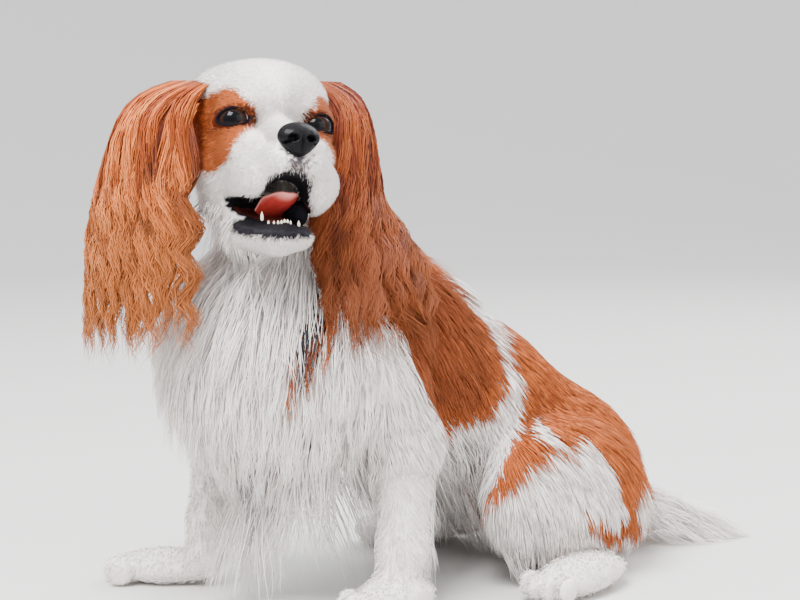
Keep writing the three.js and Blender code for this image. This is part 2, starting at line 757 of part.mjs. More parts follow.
const LOCK_ROWS = () => [
  ...frontRow(232, 44, 4, 72),
  ...frontRow(198, 45, 4, 74),
  ...frontRow(164, 42, 4, 76),
  ...frontRow(130, 36, 4, 96),
  ...[8, 40].flatMap((y) =>
    row({
      frame: FRONT_FRAME, from: [-50, y, -80], to: [40, y, -80], count: 3, long: 88,
      seek: [0, 0, 1], lie: [0, -0.1, -1], clear: 4, width: 26,
    }),
  ),
  ...[236, 204, 170].flatMap((z) =>
    row({
      frame: FRONT_FRAME, from: [-190, -64, z], to: [-190, 10, z], count: 3, long: 58,
      seek: [1, 0, 0], lie: [-0.1, -0.1, -1],
    }),
  ),
  ...[1, -1].flatMap((side) => [
    ...legRow(side, 116, 42),
    ...legRow(side, 96, 42),
  ]),
  ...[76, 110, 144].flatMap((y, i) =>
    row({
      from: [-46, y, -80], to: [46, y, -80], count: 3, long: 58 - i * 6,
      seek: [0, 0, 1], lie: [0, 0.35, -0.6], clear: 4, width: 22,
    }),
  ),
  ...[104, 78, 52].flatMap((z) => [
    ...row({ from: [66, 420, z], to: [112, 420, z], count: 2, long: 48, seek: FORWARD, lie: [0, 0.5, -1] }),
    ...row({ from: [-96, 420, z], to: [-50, 420, z], count: 2, long: 48, seek: FORWARD, lie: [0, 0.5, -1] }),
    ...row({ from: [240, 150, z], to: [240, 250, z], count: 2, long: 44, seek: [-1, 0, 0], lie: [0.1, 0.4, -1] }),
  ]),
  ...[1, -1].flatMap((side) =>
    row({
      from: [36 + side * 90, 330, 30], to: [52 + side * 90, 396, 16], count: 3, long: 50, droop: 0.02,
      seek: [-side, 0, 0], lie: [side * 0.45, 1, 0], width: 20, clear: 2,
    }),
  ),
  ...row({ from: [46, 520, 14], to: [66, 520, 14], count: 2, long: 50, seek: FORWARD, lie: [0.3, 1, 0], droop: 0, clear: 2, width: 22 }),
];

const PALETTE = {
  white: ["#efe9e4", 0.85],
  chestnut: ["#a8501f", 0.8],
  dark: ["#17141a", 0.45],
  iris: ["#2a1710", 0.08],
  pink: ["#b4493f", 0.5],
};

// Regions of the dog, each a box in a frame of its own, cut out in this order
const HEAD_CUT = timesTurn(HEAD_FRAME, turn(49.5, 0, 0));
const JAW_CUT = timesTurn(HEAD_FRAME, turn(14, 0, 0));
const REGIONS = [
  { name: "head", R: HEAD_CUT, at: fromHead([0, 10, -57]), low: [-200, -250, 0], high: [200, 250, 300] },
  { name: "neck", R: turn(12, 0, 0), at: [0, 0, 246], low: [-200, -200, 0], high: [200, 200, 200] },
  { name: "tail", low: [-80, 318, -20], high: [160, 520, 130] },
  { name: "front_paw_left", low: [48, -30, -20], high: [135, 80, 40] },
  { name: "front_paw_right", low: [-165, -115, -20], high: [-50, 5, 40] },
  { name: "forearm_left", R: FRONT_FRAME, low: [54, -50, 39], high: [135, 56, 122] },
  { name: "forearm_right", R: FRONT_FRAME, low: [-135, -70, 39], high: [-54, 50, 122] },
  { name: "upper_arm_left", R: FRONT_FRAME, low: [50, -90, 110], high: [150, 60, 290] },
  { name: "upper_arm_right", R: FRONT_FRAME, low: [-150, -90, 110], high: [-50, 54, 290] },
  { name: "chest", R: FRONT_FRAME, low: [-90, -140, 30], high: [90, -8, 290] },
  { name: "hind_foot_left", low: [101, 105, -20], high: [180, 262, 34] },
  { name: "hind_foot_right", low: [-160, 115, -20], high: [-79, 270, 34] },
  { name: "thigh_left", low: [50, 90, -20], high: [180, 300, 140] },
  { name: "thigh_right", low: [-160, 95, -20], high: [-32, 300, 140] },
  { name: "rump", low: [-200, 196, -20], high: [200, 400, 300] },
  { name: "torso", low: [-200, -200, -20], high: [200, 400, 400] },
];
for (const region of REGIONS) {
  region.R ??= NO_TURN;
  region.at ??= [0, 0, 0];
}
function regionBox({ R, at, low, high }, grow = 0) {
  const centre = add(at, turned(R, mix(low, high, 0.5)));
  return boxSolid(centre, sub(high, low).map((x) => x + 2 * grow), R);
}
const regionOf = (p) =>
  REGIONS.find(({ R, at, low, high }) =>
    unturned(R, sub(p, at)).every((x, i) => x > low[i] && x < high[i]),
  )?.name;

// The skins: a coarse one for the trunk, a finer one low down for legs and feet, one for the head
const aboveFloor = boxSolid([0, 150, bigBox / 2], [bigBox, bigBox, bigBox]);
const skins = {
  trunk: skinOf(dogForm, [-190, -170, 0], [215, 400, 420], BODY_CELL),
  low: skinOf(dogForm, [-170, -140, -20], [195, 480, 175], LEG_CELL).intersect(aboveFloor),
  head: skinOf(dogForm, sub(HEAD_AT, [110, 110, 130]), add(HEAD_AT, [130, 110, 90]), HEAD_CELL),
  fatLow: skinOf((p) => dogForm(p) - 2 * GAP, [-170, -140, -20], [195, 480, 175], LEG_CELL),
  fatTrunk: skinOf((p) => dogForm(p) - 2 * GAP, [-190, -170, 0], [215, 400, 420], BODY_CELL),
  fatHead: skinOf((p) => dogForm(p) - 2 * GAP, sub(HEAD_AT, [110, 110, 130]), add(HEAD_AT, [130, 110, 90]), HEAD_CELL),
};
const FINE_LOW = /paw|forearm|foot|tail/;
const nodes = {};
const territory = {};
for (const [i, region] of REGIONS.entries()) {
  const { name } = region;
  const skin = name === "head" ? skins.head : FINE_LOW.test(name) ? skins.low : skins.trunk;
  const earlier = REGIONS.slice(0, i).map((other) => regionBox(other, GAP));
  const own = regionBox(region);
  territory[name] = i === 0 ? own : own.subtract(wasm.Manifold.union(earlier));
  nodes[name] = largest(skin.intersect(aboveFloor).intersect(territory[name]));
}
const fat = wasm.Manifold.union([skins.fatTrunk, skins.fatHead, skins.fatLow, skins.head, skins.trunk, skins.low]);

// Head: the jaw parts from the head along the mouth; lids, eyes and nose sit in it
const jawBox = { R: JAW_CUT, at: fromHead([JAW_SHIFT, -56, -70]), low: [-70, -90, -80], high: [70, 36, 0] };
nodes.lower_jaw = largest(nodes.head.intersect(regionBox(jawBox)));
nodes.head = largest(nodes.head.subtract(regionBox(jawBox, GAP)));
for (const [name, side] of [["left", 1], ["right", -1]]) {
  const centre = eyeCentre(side);
  const socket = new THREE.SphereGeometry(EYE_RADIUS + GAP + 0.4, 16, 10).translate(...centre);
  nodes.head = joined([nodes.head, lids(side)]).subtract(solidOf(socket));
  nodes[`eye_${name}`] = eyeBall(side);
}
const nostrils = wasm.Manifold.union([nostril(1), nostril(-1)]);
nodes.nose = noseForm().subtract(nostrils);
nodes.head = largest(nodes.head.subtract(noseForm(GAP + 0.2)));

const tongueGrown = () => tongue(GAP + 0.6);
function tongue(grow = 0) {
  const rings = [];
  const steps = 6;
  for (let i = 0; i <= steps; i++) {
    const t = i / steps;
    const half = 16 * Math.sqrt(Math.max(1 - (Math.max(t - 0.35, 0) / 0.68) ** 2, 0.05));
    const y = -32 + grow - (42 + 2 * grow) * t;
    const z = -70 + 9 * Math.sin(t * 1.35);
    rings.push(
      Array.from({ length: 10 }, (_, k) => {
        const a = (2 * Math.PI * k) / 10;
        const trough = 3 * Math.cos(a) ** 2;
        return fromHead([-5 + (half + grow) * Math.cos(a), y, z + (4.2 + grow) * Math.sin(a) + trough]);
      }),
    );
  }
  return loft(rings);
}
function tooth(x, y, z, wide, tall) {
  const geometry = new THREE.ConeGeometry(wide, tall, 5).rotateX(Math.PI / 2);
  geometry.translate(JAW_SHIFT + x, y, z);
  const position = geometry.getAttribute("position");
  for (let i = 0; i < position.count; i++)
    position.setXYZ(i, ...fromHead([position.getX(i), position.getY(i), position.getZ(i)]));
  return solidOf(geometry);
}

nodes.tongue = tongue();
nodes.lower_jaw = largest(nodes.lower_jaw.subtract(tongueGrown()));
nodes.head = largest(nodes.head.subtract(tongueGrown()));

// Lower teeth stand in the jaw: a fang at each side and small ones between
const fangs = [tooth(-14, -60, -73, 2.4, 10), tooth(14, -59, -75, 2.4, 9)];
const smallTeeth = [-8, -4, 0, 4, 8].map((x) => tooth(x, -65 + x * x * 0.05, -77, 1.8, 6));

nodes.lower_jaw = largest(
  joined([nodes.lower_jaw, ...fangs, ...smallTeeth]).subtract(tongueGrown()).subtract(nodes.head),
);

// Ears and rows of locks: each kept off every other node's skin, and off the locks laid before
let taken = boxSolid([0, 0, -900], [1, 1, 1]);
for (const [name, side] of [["ear_left", 1], ["ear_right", -1]]) {
  nodes[name] = firstSettled((wider) =>
    largest(joined([earLeather(side), ...earLocks(side, wider)]).subtract(fat)),
  );
  const grown = joined([earLeather(side, EAR.leather, 0.5), ...earLocks(side, 1.1, 0.5)]);
  taken = taken.add(grown);
}
drawState = SEED;
const byNode = {};
for (const setup of LOCK_ROWS()) {
  const name = regionOf(sub(setup.root, scale(outward(setup.root), 2)));
  (byNode[name] ??= []).push(setup);
}
for (const [name, setups] of Object.entries(byNode)) {
  if (name === "head" || !nodes[name]) continue;
  const grown = wasm.Manifold.union(
    setups.map((setup) => lockFrom({ ...setup, width: setup.width * 1.1 + 1.2, thick: setup.thick + 1.2 })),
  );
  const others = wasm.Manifold.union([fat.subtract(territory[name]), taken]);
  const before = nodes[name];
  nodes[name] = firstSettled((wider) => {
    const locks = setups.map((setup) => lockFrom({ ...setup, width: setup.width * wider }));
    const free = wasm.Manifold.union(locks).subtract(others).intersect(aboveFloor);
    return largest(before.add(free));
  });
  taken = taken.add(grown);
}
for (const name of Object.keys(nodes)) {
  nodes[name] = settled(nodes[name]) ?? nodes[name];
}

const COATS = {
  nose: "dark", eye_left: "iris", eye_right: "iris", tongue: "pink",
  ear_left: "chestnut", ear_right: "chestnut", torso: "chestnut",
};
const group = new THREE.Group();
for (const [name, solid] of Object.entries(nodes)) {
  const [color, roughness] = PALETTE[COATS[name] ?? "white"];
  const material = new THREE.MeshStandardMaterial({ color, roughness, metalness: 0 });
  const mesh = new THREE.Mesh(geometryOf(solid), material);
  mesh.name = name;
  group.add(mesh);
}

// The origin is under the middle of the whole, on the floor
group.updateMatrixWorld(true);
const box = new THREE.Box3().setFromObject(group, true);
const middle = box.getCenter(new THREE.Vector3());
for (const mesh of group.children) mesh.geometry.translate(-middle.x, -middle.y, -box.min.z);

export default group;
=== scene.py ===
"""A Blenheim spaniel sitting with its head up and turned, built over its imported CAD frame."""
import math

import bpy
import numpy as np
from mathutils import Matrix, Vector, kdtree


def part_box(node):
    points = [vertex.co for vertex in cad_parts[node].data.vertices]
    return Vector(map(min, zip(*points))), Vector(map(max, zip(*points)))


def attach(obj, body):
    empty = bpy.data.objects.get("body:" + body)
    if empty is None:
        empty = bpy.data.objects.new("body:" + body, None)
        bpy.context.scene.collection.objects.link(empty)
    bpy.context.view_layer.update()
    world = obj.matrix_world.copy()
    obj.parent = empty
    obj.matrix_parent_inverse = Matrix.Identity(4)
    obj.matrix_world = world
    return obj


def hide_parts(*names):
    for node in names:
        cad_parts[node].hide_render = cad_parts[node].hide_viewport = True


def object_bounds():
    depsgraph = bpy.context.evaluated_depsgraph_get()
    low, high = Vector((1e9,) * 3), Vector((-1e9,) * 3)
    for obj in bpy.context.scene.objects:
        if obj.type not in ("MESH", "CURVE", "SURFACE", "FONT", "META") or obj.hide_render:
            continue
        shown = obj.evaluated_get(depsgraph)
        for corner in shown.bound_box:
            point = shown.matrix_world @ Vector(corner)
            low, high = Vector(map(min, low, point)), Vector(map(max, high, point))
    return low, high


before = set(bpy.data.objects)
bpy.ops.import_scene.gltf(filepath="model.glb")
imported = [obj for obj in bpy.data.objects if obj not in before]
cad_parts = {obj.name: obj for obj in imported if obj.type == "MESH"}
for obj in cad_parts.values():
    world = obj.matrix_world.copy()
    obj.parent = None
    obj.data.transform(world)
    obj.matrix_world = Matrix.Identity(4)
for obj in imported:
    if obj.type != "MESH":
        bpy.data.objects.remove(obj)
CAD_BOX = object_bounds()

# Everything below is in millimetres in the dog's own frame until a mesh is made.
F = np.float32
SEED = 11
GRID_STEP = 2.4
FIELD_STEP = 6.0
SLAB = 200000
MOST_TRIANGLES = 195000

HEAD_AT = np.array([14.3, -48.7, 358.5])
HEAD_TURN, HEAD_UP, HEAD_LEAN = 77, 15, 4.5
FRONT_TURN = 18
EYE_AT = np.array([31.5, -34.5, -0.5])
EYE_RADIUS = 12.2
EYE_OPENING = (12.4, 6.8)
EYE_OUTWARD = 14
NOSE_AT = np.array([0.0, -82.0, -24.0])
NOSE_RADII = (15.5, 10.0, 12.5)
JAW_SHIFT = -6.0

# The photo's camera: azimuth, standing point and focal length
CAMERA_TURN = math.radians(52)
CAMERA_RIGHT = np.array([math.cos(CAMERA_TURN), math.sin(CAMERA_TURN), 0.0])
CAMERA_AHEAD = np.array([-math.sin(CAMERA_TURN), math.cos(CAMERA_TURN), 0.0])
CAMERA_AT = 75 * CAMERA_RIGHT - 1371 * CAMERA_AHEAD + np.array([0, 0, 370.0])
FOCAL = 1800.0
HORIZON = 120.0

WHITE = np.array([0.86, 0.80, 0.77])
CHESTNUT = np.array([0.40, 0.085, 0.018])
DEEP = np.array([0.15, 0.026, 0.009])
BLOND = np.array([0.60, 0.21, 0.07])
BLACK = np.array([0.005, 0.0045, 0.006])
SPECK = np.array([0.085, 0.075, 0.085])
IRIS = np.array([0.014, 0.0055, 0.004])
EYE_WHITE = np.array([0.42, 0.37, 0.36])
MOUTH_RED = np.array([0.10, 0.022, 0.016])
TONGUE_RED = np.array([0.34, 0.03, 0.025])
TONGUE_EDGE = np.array([0.62, 0.2, 0.17])
TOOTH = np.array([0.62, 0.56, 0.46])

rng = np.random.default_rng(SEED)


def unit(v):
    return v / np.maximum(np.linalg.norm(v, axis=-1, keepdims=True), 1e-9)


def turn(x=0, y=0, z=0):
    """Turns by x, then y, then z degrees about the fixed axes."""
    a, b, c = (math.radians(t) for t in (x, y, z))
    X = np.array([[1, 0, 0], [0, math.cos(a), -math.sin(a)], [0, math.sin(a), math.cos(a)]])
    Y = np.array([[math.cos(b), 0, math.sin(b)], [0, 1, 0], [-math.sin(b), 0, math.cos(b)]])
    Z = np.array([[math.cos(c), -math.sin(c), 0], [math.sin(c), math.cos(c), 0], [0, 0, 1]])
    return Z @ Y @ X


HEAD_FRAME = turn(z=HEAD_TURN) @ turn(x=-HEAD_UP) @ turn(y=HEAD_LEAN)
FRONT_FRAME = turn(z=FRONT_TURN)


def to_head(p):
    return (p - HEAD_AT) @ HEAD_FRAME


def from_head(q):
    return np.asarray(q, float) @ HEAD_FRAME.T + HEAD_AT


def over_neck(q):
    """How far head-frame points lie on the head's side of where it meets the neck."""
    return -0.76 * q[..., 1] + 0.65 * q[..., 2]


def smooth(x, low, high):
    t = np.clip((x - low) / (high - low), 0, 1)
    return t * t * (3 - 2 * t)


# The form, as signed distances
def egg(p, centre, radii, R=None):
    q = p - np.array(centre, F)
    if R is not None:
        q = q @ R.astype(F)
    r = np.array(radii, F)
    k0 = np.sqrt(((q / r) ** 2).sum(-1))
    k1 = np.sqrt(((q / (r * r)) ** 2).sum(-1)) + 1e-9
    return k0 * (k0 - 1) / k1


def bone(p, a, b, ra, rb):
    a, b = np.array(a, F), np.array(b, F)
    ab = b - a
    long = float(ab @ ab)
    rr = ra - rb
    a2 = long - rr * rr
    pa = p - a
    y = pa @ ab
    z = y - long
    side = pa * long - y[..., None] * ab
    x2 = (side * side).sum(-1)
    y2 = y * y * long
    z2 = z * z * long
    k = np.sign(rr) * rr * rr * x2
    out = (np.sqrt(x2 * a2 / long) + y * rr) / long - ra
    out = np.where(np.sign(y) * a2 * y2 < k, np.sqrt(x2 + y2) / long - ra, out)
    return np.where(np.sign(z) * a2 * z2 > k, np.sqrt(x2 + z2) / long - rb, out)


def blend(a, b, k):
    h = np.maximum(k - np.abs(a - b), 0) / k
    return np.minimum(a, b) - h * h * k * 0.25


def carve(a, b, k):
    return -blend(-a, b, k)


def both_sides(q):
    return np.concatenate([np.abs(q[..., :1]), q[..., 1:]], -1)


def soft_sides(q):
    """Like both_sides, but with no crease down the middle."""
    return np.concatenate([np.sqrt(q[..., :1] ** 2 + F(25)), q[..., 1:]], -1)


def skull_form(q):
    """Crown, brows, cheeks, muzzle and flews, in the head's frame."""
    s = soft_sides(q)
    d = egg(q, (0, 10, 14), (55, 56, 39))
    d = blend(d, egg(s, (26, 2, 27), (26, 32, 22)), 10)
    d = blend(d, egg(q, (0, -22, 21), (42, 28, 29)), 14)
    d = blend(d, egg(s, (26, -35, 12), (15, 12, 9)), 10)
    d = blend(d, egg(s, (32, -8, -28), (18, 34, 36)), 16)
    d = blend(d, egg(s, (26, -42, -24), (17, 16, 15)), 12)
    d = blend(d, bone(q, (0, -44, -12), (0, -74, -23), 14, 11), 10)
    d = blend(d, egg(s, (12, -65, -39), (16, 20, 16), turn(12)), 8)
    d = blend(d, egg(s, (26, -50, -48), (14, 25, 17), turn(10)), 10)
    d = blend(d, egg(q, (0, -74, -25), (11, 11, 12)), 5)
    return blend(d, egg(q, (20, -56, -57), (10, 19, 15)), 8)


def jaw_form(q):
    q = q - np.array([JAW_SHIFT, 0, 0], F)
    s = soft_sides(q)
    d = bone(q, (0, -12, -67), (0, -50, -86), 26, 14)
    d = blend(d, egg(q, (0, -57, -88), (17, 14, 11)), 8)
    return blend(d, egg(s, (18, -40, -85), (11, 27, 9), turn(8)), 8)


def mouth_form(q):
    middle = egg(q, (-4.5, -66, -61), (15, 24, 13))
    return blend(middle, egg(q, (-16, -52, -67), (31, 33, 6.5), turn(18)), 5)


def head_form(p):
    q = to_head(p).astype(F)
    d = blend(skull_form(q), jaw_form(q), 8)
    return carve(d, mouth_form(q), 3)


# How far the lids stand out from the eyeball
LID = 1.6


def eye_side(q):
    """Head-frame points seen from the eye on their own side: x outward, -y ahead."""
    return (both_sides(q) - EYE_AT) @ turn(z=EYE_OUTWARD)


def between_lids(e):
    """How far a point is outside the almond between the lids, along the face."""
    x, z = e[..., 0], e[..., 2] + 0.10 * e[..., 0]
    high = np.where(z > 0, EYE_OPENING[1] * 0.92, EYE_OPENING[1] * 0.78)
    ring = np.sqrt((x / (EYE_OPENING[0] * 0.9)) ** 2 + (z / high) ** 2)
    return (ring - 1) * high * 1.15


FRONT_LEGS = ((1, (82, 22, 132), (87, 10, 50)), (-1, (-87, 6, 138), (-90, -2, 52)))
FEET = (
    ((88, 22, 15), (25, 38, 19), 6),
    ((-112, -57, 12), (27, 44, 16), -40),
    ((124, 178, 15), (24, 56, 18), 10),
    ((-96, 190, 15), (24, 56, 18), -10),
)
TAIL_LINE = ((28, 312, 48), (38, 352, 28), (48, 380, 19), (54, 402, 16))
TAIL_RADII = (22, 18, 13, 8)


def trunk_form(p):
    """Ribs, chest, loin, rump, shoulders, forelegs, neck and thighs."""
    f = p @ FRONT_FRAME.astype(F)
    d = egg(p, (2, 78, 186), (74, 104, 80), turn(-36, 0, 4))
    d = blend(d, egg(f, (-15, -28, 192), (92, 70, 82), turn(-10)), 30)
    d = blend(d, egg(p, (8, 168, 142), (68, 88, 66), turn(-36)), 34)
    d = blend(d, egg(p, (18, 246, 78), (74, 78, 72), turn(-34)), 40)
    for side, elbow, wrist in FRONT_LEGS:
        d = blend(d, egg(f, (side * 58, -6, 190), (38, 52, 66), turn(-14)), 22)
        d = blend(d, bone(f, (side * 66, 2, 180), elbow, 37, 29), 18)
        d = blend(d, bone(f, elbow, wrist, 27, 21), 12)
        d = blend(d, bone(f, wrist, (wrist[0], wrist[1] - 10, 22), 20, 18), 10)
    d = blend(d, bone(p, (0, 30, 236), (-2, -20, 312), 64, 47), 26)
    d = blend(d, egg(p, (82, 200, 70), (38, 80, 62), turn(-16, 0, -6)), 24)
    return blend(d, egg(p, (-62, 205, 70), (38, 80, 62), turn(-16, 0, 6)), 24)


def feet_form(p):
    d = None
    for centre, radii, heading in FEET:
        R = turn(z=heading)
        foot = egg(p, centre, radii, R)
        for i in range(4):
            aside = (i - 1.5) * radii[0] * 0.52
            ahead = -radii[1] * 0.62 - (12 if i in (1, 2) else 6)
            toe = R @ np.array([aside, ahead, -1.0]) + np.array(centre)
            foot = blend(foot, egg(p, toe, (7.4, 13, 12.5), R), 1.5)
        d = foot if d is None else np.minimum(d, foot)
    return d


def body_form(p):
    d = blend(trunk_form(p), feet_form(p), 10)
    tail = None
    for a, b, ra, rb in zip(TAIL_LINE, TAIL_LINE[1:], TAIL_RADII, TAIL_RADII[1:]):
        length = bone(p, a, b, ra, rb)
        tail = length if tail is None else blend(tail, length, 6)
    return blend(d, tail, 14)


def coat_depth(p):
    """How far the skin lies inside the solids: little on the head and feet, more on the trunk."""
    q = to_head(p)
    on_head = smooth(over_neck(q), -62, -36)
    low = smooth(p[..., 2], 95, 45)
    return 5.0 - 3.2 * on_head - 2.2 * low * (1 - on_head)


def skin_form(p):
    p = p.astype(F)
    d = blend(body_form(p), head_form(p), 14)
    d = d + coat_depth(p).astype(F)
    e = eye_side(to_head(p)).astype(F)
    d = blend(d, egg(e, (0, 0.6, 0), (EYE_RADIUS + LID, EYE_RADIUS + LID, EYE_RADIUS + LID - 0.8)), 7)
    d = carve(d, np.maximum(between_lids(e), e[..., 1]).astype(F), 1.0)
    return carve(d, p[..., 2], 1.5)


# A skin of quads over the zero surface, one vertex in each crossed cell
LOW = np.array([-165.0, -150.0, -12.0])
HIGH = np.array([190.0, 440.0, 430.0])


def grid_points(step):
    n = np.ceil((HIGH - LOW) / step).astype(int) + 1
    axes = [LOW[i] + step * np.arange(n[i]) for i in range(3)]
    return np.stack(np.meshgrid(*axes, indexing="ij"), -1).astype(F)


def in_slabs(form, points):
    flat = points.reshape(-1, 3)
    out = np.empty(len(flat), F)
    for i in range(0, len(flat), SLAB):
        out[i:i + SLAB] = form(flat[i:i + SLAB])
    return out.reshape(points.shape[:-1])


def fine_grid(form, step):
    """The form on a fine grid, worked out only near where it is zero."""
    rough_step = step * 4
    rough = in_slabs(form, grid_points(rough_step))
    points = grid_points(step)
    index = [np.minimum((np.arange(n) + 2) // 4, m - 1) for n, m in zip(points.shape, rough.shape)]
    out = rough[np.ix_(*index)].copy()
    near = np.abs(out) < rough_step * 2.2
    out[near] = in_slabs(form, points[near])
    return out


def net(values, step):
    """Points and quads of the surface where the values cross zero."""
    inside = values < 0
    corners = [(i, j, k) for i in (0, 1) for j in (0, 1) for k in (0, 1)]
    shape = tuple(s - 1 for s in values.shape)
    count = np.zeros(shape, np.int8)
    for i, j, k in corners:
        count += inside[i:i + shape[0], j:j + shape[1], k:k + shape[2]]
    active = (count > 0) & (count < 8)
    cells = np.argwhere(active)
    index = -np.ones(shape, np.int64)
    index[active] = np.arange(len(cells))
    total = np.zeros((len(cells), 3))
    crossings = np.zeros(len(cells))
    at = {c: values[cells[:, 0] + c[0], cells[:, 1] + c[1], cells[:, 2] + c[2]] for c in corners}
    for c in corners:
        for axis in range(3):
            if c[axis]:
                continue
            other = tuple(1 if i == axis else c[i] for i in range(3))
            v0, v1 = at[c], at[other]
            crossed = (v0 < 0) != (v1 < 0)
            share = np.where(crossed, v0 / np.where(crossed, v0 - v1, 1), 0)
            point = np.repeat(np.array(c, float)[None], len(cells), 0)
            point[:, axis] += share
            total += point * crossed[:, None]
            crossings += crossed
    points = (cells + total / crossings[:, None]) * step + LOW
    quads = []
    for axis in range(3):
        b, c = (axis + 1) % 3, (axis + 2) % 3
        first = [slice(None)] * 3
        second = [slice(None)] * 3
        first[axis] = slice(0, -1)
        second[axis] = slice(1, None)
        edge = np.argwhere(inside[tuple(first)] != inside[tuple(second)])
        edge = edge[(edge[:, b] > 0) & (edge[:, c] > 0)]
        edge = edge[(edge[:, b] < shape[b]) & (edge[:, c] < shape[c])]
        ahead = edge.copy()
        ahead[:, axis] += 1
        flip = inside[ahead[:, 0], ahead[:, 1], ahead[:, 2]]
        quad = []
        for db, dc in ((-1, -1), (0, -1), (0, 0), (-1, 0)):
            cell = edge.copy()
            cell[:, b] += db
            cell[:, c] += dc
            quad.append(index[cell[:, 0], cell[:, 1], cell[:, 2]])
        quad = np.stack(quad, 1)
        quad[flip] = quad[flip][:, ::-1]
        quads.append(quad)
    return points, np.concatenate(quads)


class Field:
    """A form kept on a rough grid, read between its points, with its outward direction."""

    def __init__(self, form):
        self.value = in_slabs(form, grid_points(FIELD_STEP))
        self.slope = np.stack(np.gradient(self.value, FIELD_STEP), -1)

    def read(self, table, p):
        q = np.clip((p - LOW) / FIELD_STEP, 0, np.array(self.value.shape) - 1.001)
        base = q.astype(int)
        part = q - base
        out = 0
        for i in (0, 1):
            for j in (0, 1):
                for k in (0, 1):
                    weight = (
                        np.abs(1 - i - part[..., 0])
                        * np.abs(1 - j - part[..., 1])
                        * np.abs(1 - k - part[..., 2])
                    )
                    here = table[base[..., 0] + i, base[..., 1] + j, base[..., 2] + k]
                    out = out + (weight[..., None] * here if table.ndim == 4 else weight * here)
        return out

    def distance(self, p):
        return self.read(self.value, p)

    def outward(self, p):
        return unit(self.read(self.slope, p))

    def push(self, p, clear):
        short = np.maximum(clear - self.distance(p), 0)
        return p + self.outward(p) * short[..., None]


# Markings, laid out in the photo camera's picture and carried through the trunk
def in_picture(p):
    away = p - CAMERA_AT
    depth = away @ CAMERA_AHEAD
    u = 400 + FOCAL * (away @ CAMERA_RIGHT) / depth
    v = HORIZON - FOCAL * away[..., 2] / depth
    return u, v


def wobble(p, scale, seed):
    """A smooth, seeded unevenness from -1 to 1."""
    local = np.random.default_rng(seed)
    out = 0
    for _ in range(5):
        out = out + np.sin(p @ (local.normal(size=3) / scale) + local.uniform(0, 6.3))
    return out / 3.2


def inside_outline(u, v, outline):
    hit = np.zeros(u.shape, bool)
    for (x0, y0), (x1, y1) in zip(outline, outline[1:] + outline[:1]):
        crosses = (y0 > v) != (y1 > v)
        where = (x1 - x0) * (v - y0) / ((y1 - y0) if y1 != y0 else 1e-6) + x0
        hit ^= crosses & (u < where)
    return hit


# Outlines of the chestnut patches in the 800 by 600 picture: shoulder, back, rump and chest
PATCHES = (
    [(330, 240), (408, 246), (436, 268), (472, 296), (496, 338), (510, 378), (508, 400), (486, 420),
     (458, 428), (446, 446), (440, 420), (424, 398), (410, 360), (392, 330), (330, 330)],
    [(490, 306), (530, 326), (568, 366), (608, 400), (644, 444), (656, 500), (640, 520), (626, 500),
     (612, 470), (590, 450), (574, 462), (550, 464), (534, 474), (518, 492), (484, 512), (478, 522),
     (482, 502), (506, 470), (518, 446), (524, 412), (516, 376), (504, 340)],
    [(616, 456), (634, 476), (642, 510), (652, 536), (636, 548), (622, 540), (614, 550), (598, 536),
     (594, 524), (612, 536), (624, 520), (618, 486)],
    [(322, 316), (346, 318), (320, 356), (294, 396), (282, 388), (296, 356)],
)
WHITE_SPOT = [(536, 416), (552, 432), (560, 446), (552, 456), (540, 442)]
# A chestnut lock at the side of the neck lying in shadow: painted shade, mostly black hair inside this
# outline.
SHADOW_STREAK = [(318, 320), (334, 318), (314, 350), (300, 374), (300, 352)]


def chestnut_share(p):
    """1 where the coat is chestnut, 0 where it is white."""
    jitter = rng.normal(size=p.shape) * 1.3
    q = to_head(p + jitter)
    x = np.abs(q[..., 0])
    z = q[..., 2]
    border = 19.5 + 1.0 * np.maximum(z - 8, 0) + 0.8 * np.maximum(-8 - z, 0) + 2 * wobble(p, 9, 3)
    forward = q[..., 1] < -48
    brow = np.where(q[..., 1] < 14, 21 + 2 * wobble(p, 12, 9), 90)
    face = (x > border + 4 * forward) & (z > -31 + 0.25 * q[..., 1]) & (z < brow)
    back = (q[..., 1] > 25) & (x > 16) & (z > -62)
    head = face | back
    u, v = in_picture(p + jitter + 5 * np.stack([wobble(p, 14, s) for s in (5, 6, 7)], -1))
    trunk = np.zeros(u.shape, bool)
    for outline in PATCHES:
        trunk |= inside_outline(u, v, outline)
    trunk &= ~inside_outline(u, v, WHITE_SPOT)
    on_head = over_neck(q) > -46
    nape = (p[..., 2] > 262) & (p[..., 1] > 8) & (np.abs(p[..., 0]) > 14)
    return np.where(on_head, head, trunk | nape).astype(float)


